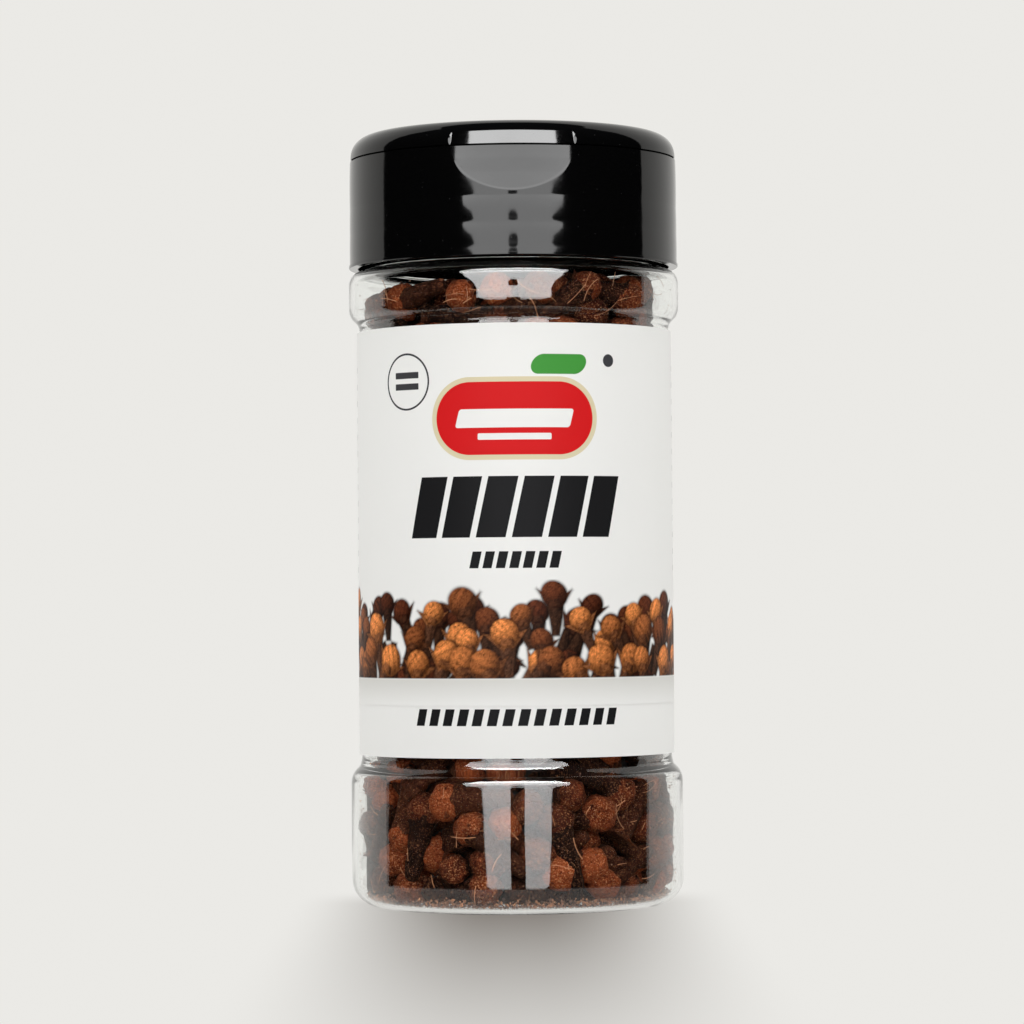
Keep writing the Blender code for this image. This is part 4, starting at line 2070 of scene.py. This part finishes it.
@dataclass
class Studio:
    """Camera, pale floor and backdrop, a large soft front light and a soft top light."""

    focal_px: float = 4000.0
    frame_px: float = 1024.0
    sensor_mm: float = 36.0
    camera_distance: float = 0.580
    camera_height: float = 0.0430
    pitch: float = math.radians(1.36)
    yaw: float = math.radians(0.046)
    roll: float = math.radians(-0.444)
    backdrop_radius: float = 1.5
    backdrop_half: float = math.radians(78)
    backdrop_top: float = 3.0
    backdrop_colour: Colour = (0.83, 0.82, 0.79)
    floor_steps: int = 96
    backdrop_steps: int = 64
    front_distance: float = 1.0
    front_edge: tuple[tuple[float, float], ...] = (
        (-0.16, 18.5),
        (-0.06, 21.5),
        (0.10, 26.0),
        (0.149, 25.5),
        (0.20, 28.0),
        (0.25, 34.5),
        (0.55, 39.3),
        (0.60, 40.0),
        (0.66, 34.0),
        (0.82, 30.0),
    )
    front_low: float = 2.9
    front_middle: float = 4.9
    front_high: float = 8.0
    front_top: float = 18.0
    front_steps: tuple[tuple[float, float], ...] = ((-0.03, 0.13), (0.20, 0.38), (0.58, 0.66))
    front_fill: float = 14.1
    fill_size: tuple[float, float] = (3.6, 0.9)
    fill_height: float = 0.45
    top_light: float = 30.0
    top_size: tuple[float, float] = (0.9, 0.7)
    top_place: tuple[float, float, float] = (0.0, -0.05, 1.15)
    stand_ahead: float = 0.06
    stand_half: float = 0.055
    stand_edge: tuple[tuple[float, float], ...] = (
        (-0.2, 1.0),
        (0.055, 1.0),
        (0.075, 0.8),
        (0.088, 0.55),
        (0.094, 0.2),
    )
    head_edge: tuple[tuple[float, float], ...] = (
        (0.136, 0.64),
        (0.150, 0.64),
        (0.157, 0.50),
        (0.161, 0.25),
    )
    near_floor: float = 0.050
    shadow_depth: float = 0.84
    shadow_half: float = 0.033
    shadow_reach: float = 0.25
    shadow_offset: float = 0.0007
    shadow_tint: Colour = (0.10, 0.07, 0.05)
    mirror_edge: tuple[float, float] = (-0.012, -0.022)
    mirror_share: float = 0.8

    def build(self) -> None:
        """Sets the camera, the floor, the backdrop and the lights."""
        scene = bpy.context.scene
        scene.view_settings.view_transform = "Standard"
        scene.view_settings.look = "None"
        self._world(scene)
        self._camera(scene)
        self._floor()
        self._backdrop()
        self._front()
        self._top()

    def _world(self, scene: bpy.types.Scene) -> None:
        """Sets a dark room that looks pale where the backdrop doesn't reach.

        Args:
            scene: The scene.
        """
        world = bpy.data.worlds.new("room")
        scene.world = world
        world.use_nodes = True
        nodes = world.node_tree.nodes
        links = world.node_tree.links
        dark = nodes["Background"]
        dark.inputs[0].default_value = (0.0, 0.0, 0.0, 1.0)
        pale = nodes.new("ShaderNodeBackground")
        pale.inputs[0].default_value = (*self.backdrop_colour, 1.0)
        path = nodes.new("ShaderNodeLightPath")
        both = nodes.new("ShaderNodeMixShader")
        links.new(path.outputs["Is Camera Ray"], both.inputs[0])
        links.new(dark.outputs[0], both.inputs[1])
        links.new(pale.outputs[0], both.inputs[2])
        links.new(both.outputs[0], nodes["World Output"].inputs["Surface"])

    def _camera(self, scene: bpy.types.Scene) -> None:
        """Sets the camera at the photograph's viewing angle.

        Args:
            scene: The scene.
        """
        lens = bpy.data.cameras.new("camera")
        lens.sensor_width = self.sensor_mm
        lens.lens = self.focal_px / self.frame_px * self.sensor_mm
        lens.clip_start = 0.01
        camera = bpy.data.objects.new("camera", lens)
        scene.collection.objects.link(camera)
        look = Euler((math.pi / 2 + self.pitch, 0.0, self.yaw)).to_matrix().to_4x4()
        place = Matrix.Translation((0.0, -self.camera_distance, self.camera_height))
        camera.matrix_world = place @ look @ Matrix.Rotation(self.roll, 4, "Z")
        scene.camera = camera

    @staticmethod
    def _stage_piece(
        name: str, mesh: bpy.types.Mesh, material: bpy.types.Material
    ) -> bpy.types.Object:
        """Adds something that isn't part of the object.

        Args:
            name: Its name.
            mesh: Its mesh.
            material: Its finish.

        Returns:
            The new object.
        """
        piece = bpy.data.objects.new(name, mesh)
        bpy.context.scene.collection.objects.link(piece)
        mesh.materials.append(material)
        return piece

    @staticmethod
    def _glow(name: str, colour: Colour, strength: float) -> bpy.types.Material:
        """Makes a surface that only gives light.

        Args:
            name: The material's name.
            colour: The light's colour.
            strength: How bright it is.

        Returns:
            The material.
        """
        paint = Paint(name)
        paint.set(
            Base_Color=(0.0, 0.0, 0.0),
            Specular_IOR_Level=0.0,
            Roughness=1.0,
            Emission_Color=colour,
            Emission_Strength=strength,
        )
        return paint.material

    def _floor(self) -> None:
        """The pale floor, which glows as the backdrop does but for a painted soft shadow before the jar,
        and which first reflections see painted dark from under the front of the jar forward.
        """
        paint = Paint("floor")
        x, y, _ = paint.axes()
        # Painted shadow: a soft dark strip on the floor, narrow across, strongest under the jar and fading
        # forward.
        across = abs(x + self.shadow_offset).ramp(self.shadow_half, 0.003)
        ahead = ((y + self.shadow_reach) / self.shadow_reach).most(0.0) * y.ramp(0.03, 0.0)
        path = paint.node("ShaderNodeLightPath")
        glossy = paint.read(path, "Is Glossy Ray")
        inner = paint.read(path, "Ray Depth").ramp(1.4, 1.6)
        # Painted dark reflection: first glossy rays see the floor mostly black from under the front of the
        # jar forward.
        mirrored = glossy * (1.0 - inner) * y.ramp(*self.mirror_edge) * self.mirror_share
        # Rays that reflected inside the plastic see only a tenth of the painted shadow.
        shadow = across * ahead * self.shadow_depth * (1.0 - glossy * inner * 0.9)
        dark = tuple(c * s for c, s in zip(self.backdrop_colour, self.shadow_tint))
        glow = paint.blend(shadow, self.backdrop_colour, dark)
        paint.set(
            Base_Color=(0.0, 0.0, 0.0),
            Roughness=0.9,
            Specular_IOR_Level=0.0,
            Emission_Color=paint.blend(mirrored, glow, (0.0, 0.0, 0.0)),
            Emission_Strength=1.0,
        )
        turns = [math.tau * k / self.floor_steps for k in range(self.floor_steps)]
        reach = self.backdrop_radius
        behind = math.cos(self.backdrop_half)
        edge = [reach if math.sin(a) > behind else self.near_floor for a in turns]
        middle, outside = [0.0] * len(turns), [reach * 1.02] * len(turns)
        for name, inside, around in (("floor_near", middle, edge), ("floor_far", edge, outside)):
            rings = []
            for radii in (inside, around):
                spots = [(math.cos(a) * r, math.sin(a) * r, 0.0) for a, r in zip(turns, radii)]
                rings.append([Vector(spot) for spot in spots])
            floor = self._stage_piece(name, closed_sheet(name, rings, True), paint.material)
            floor.visible_glossy = floor.visible_transmission = name == "floor_near"

    def _backdrop(self) -> None:
        """A pale wall that curves round the back and sides."""
        steps = self.backdrop_steps
        reach = self.backdrop_radius
        rings = []
        for height in (-0.2, self.backdrop_top):
            ring = []
            for k in range(steps + 1):
                angle = self.backdrop_half * (2 * k / steps - 1)
                ring.append(Vector((math.sin(angle) * reach, math.cos(angle) * reach, height)))
            rings.append(ring)
        glow = self._glow("backdrop", self.backdrop_colour, 1.0)
        self._stage_piece("backdrop", closed_sheet("backdrop", rings, False), glow)

    def _front(self) -> None:
        """The large soft front light, and the dark stand with its head before it."""
        rings = []
        for z, half in self.front_edge:
            x = self.front_distance * math.tan(math.radians(half))
            rings.append([Vector((-x, -self.front_distance, z)), Vector((x, -self.front_distance, z))])
        sheet = closed_sheet("front_light", rings, False)
        panel = self._stage_piece("front_light", sheet, self._front_glow())
        panel.visible_camera = panel.visible_diffuse = False
        self._front_fill()
        dark = self._glow("stand", (0.0, 0.0, 0.0), 0.0)
        near = self.camera_distance + self.stand_ahead
        half = self.stand_half
        for name, levels in (("stand", self.stand_edge), ("stand_head", self.head_edge)):
            rows = [[Vector((-half * w, -near, z)), Vector((half * w, -near, z))] for z, w in levels]
            stand = self._stage_piece(name, closed_sheet(name, rows, False), dark)
            stand.visible_camera = False
            stand.visible_shadow = False

    def _front_glow(self) -> bpy.types.Material:
        """Makes the front light's face, brighter towards its top.

        Returns:
            The material.
        """
        paint = Paint("front_light")
        _, _, z = paint.axes()
        levels = (self.front_low, self.front_middle, self.front_high, self.front_top)
        low, middle, high, top = ((level / self.front_top,) * 3 for level in levels)
        first, second, third = self.front_steps
        colour = paint.blend(z.ramp(*first), low, middle)
        colour = paint.blend(z.ramp(*second), colour, high)
        paint.set(
            Base_Color=(0.0, 0.0, 0.0),
            Specular_IOR_Level=0.0,
            Roughness=1.0,
            Emission_Color=paint.blend(z.ramp(*third), colour, top),
            Emission_Strength=self.front_top,
        )
        return paint.material

    def _front_fill(self) -> None:
        """A wide soft light from the front that lights matt surfaces but isn't mirrored."""
        data = bpy.data.lights.new("front_fill", "AREA")
        data.shape = "RECTANGLE"
        data.size, data.size_y = self.fill_size
        data.energy = self.front_fill
        lamp = bpy.data.objects.new("front_fill", data)
        lamp.location = (0.0, -self.front_distance + 0.05, self.fill_height)
        lamp.rotation_euler = (math.pi / 2, 0.0, 0.0)
        bpy.context.scene.collection.objects.link(lamp)
        lamp.visible_camera = lamp.visible_glossy = lamp.visible_transmission = False

    def _top(self) -> None:
        """A soft light overhead."""
        data = bpy.data.lights.new("top_light", "AREA")
        data.shape = "RECTANGLE"
        data.size, data.size_y = self.top_size
        data.energy = self.top_light
        lamp = bpy.data.objects.new("top_light", data)
        lamp.location = self.top_place
        bpy.context.scene.collection.objects.link(lamp)
        lamp.visible_camera = lamp.visible_glossy = lamp.visible_transmission = False


def main() -> None:
    """Builds the object's pieces in order and reports each."""
    logging.basicConfig(level=logging.INFO, format="%(message)s")
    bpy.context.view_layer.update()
    Studio().build()
    jar = Jar()
    makers: tuple[tuple[str, Callable[[], Any]], ...] = (
        ("jar", lambda: [jar.build(ClearPlastic())]),
        ("label", lambda: Label().build(4)),
        ("cap", lambda: Cap().build(BlackPlastic())),
        ("cloves", lambda: Heap(jar).build()),
    )
    for name, maker in makers:
        for piece in maker():
            log.info("%s: %s has %d faces", name, piece.name, len(piece.data.polygons))


if __name__ == "__main__":
    main()
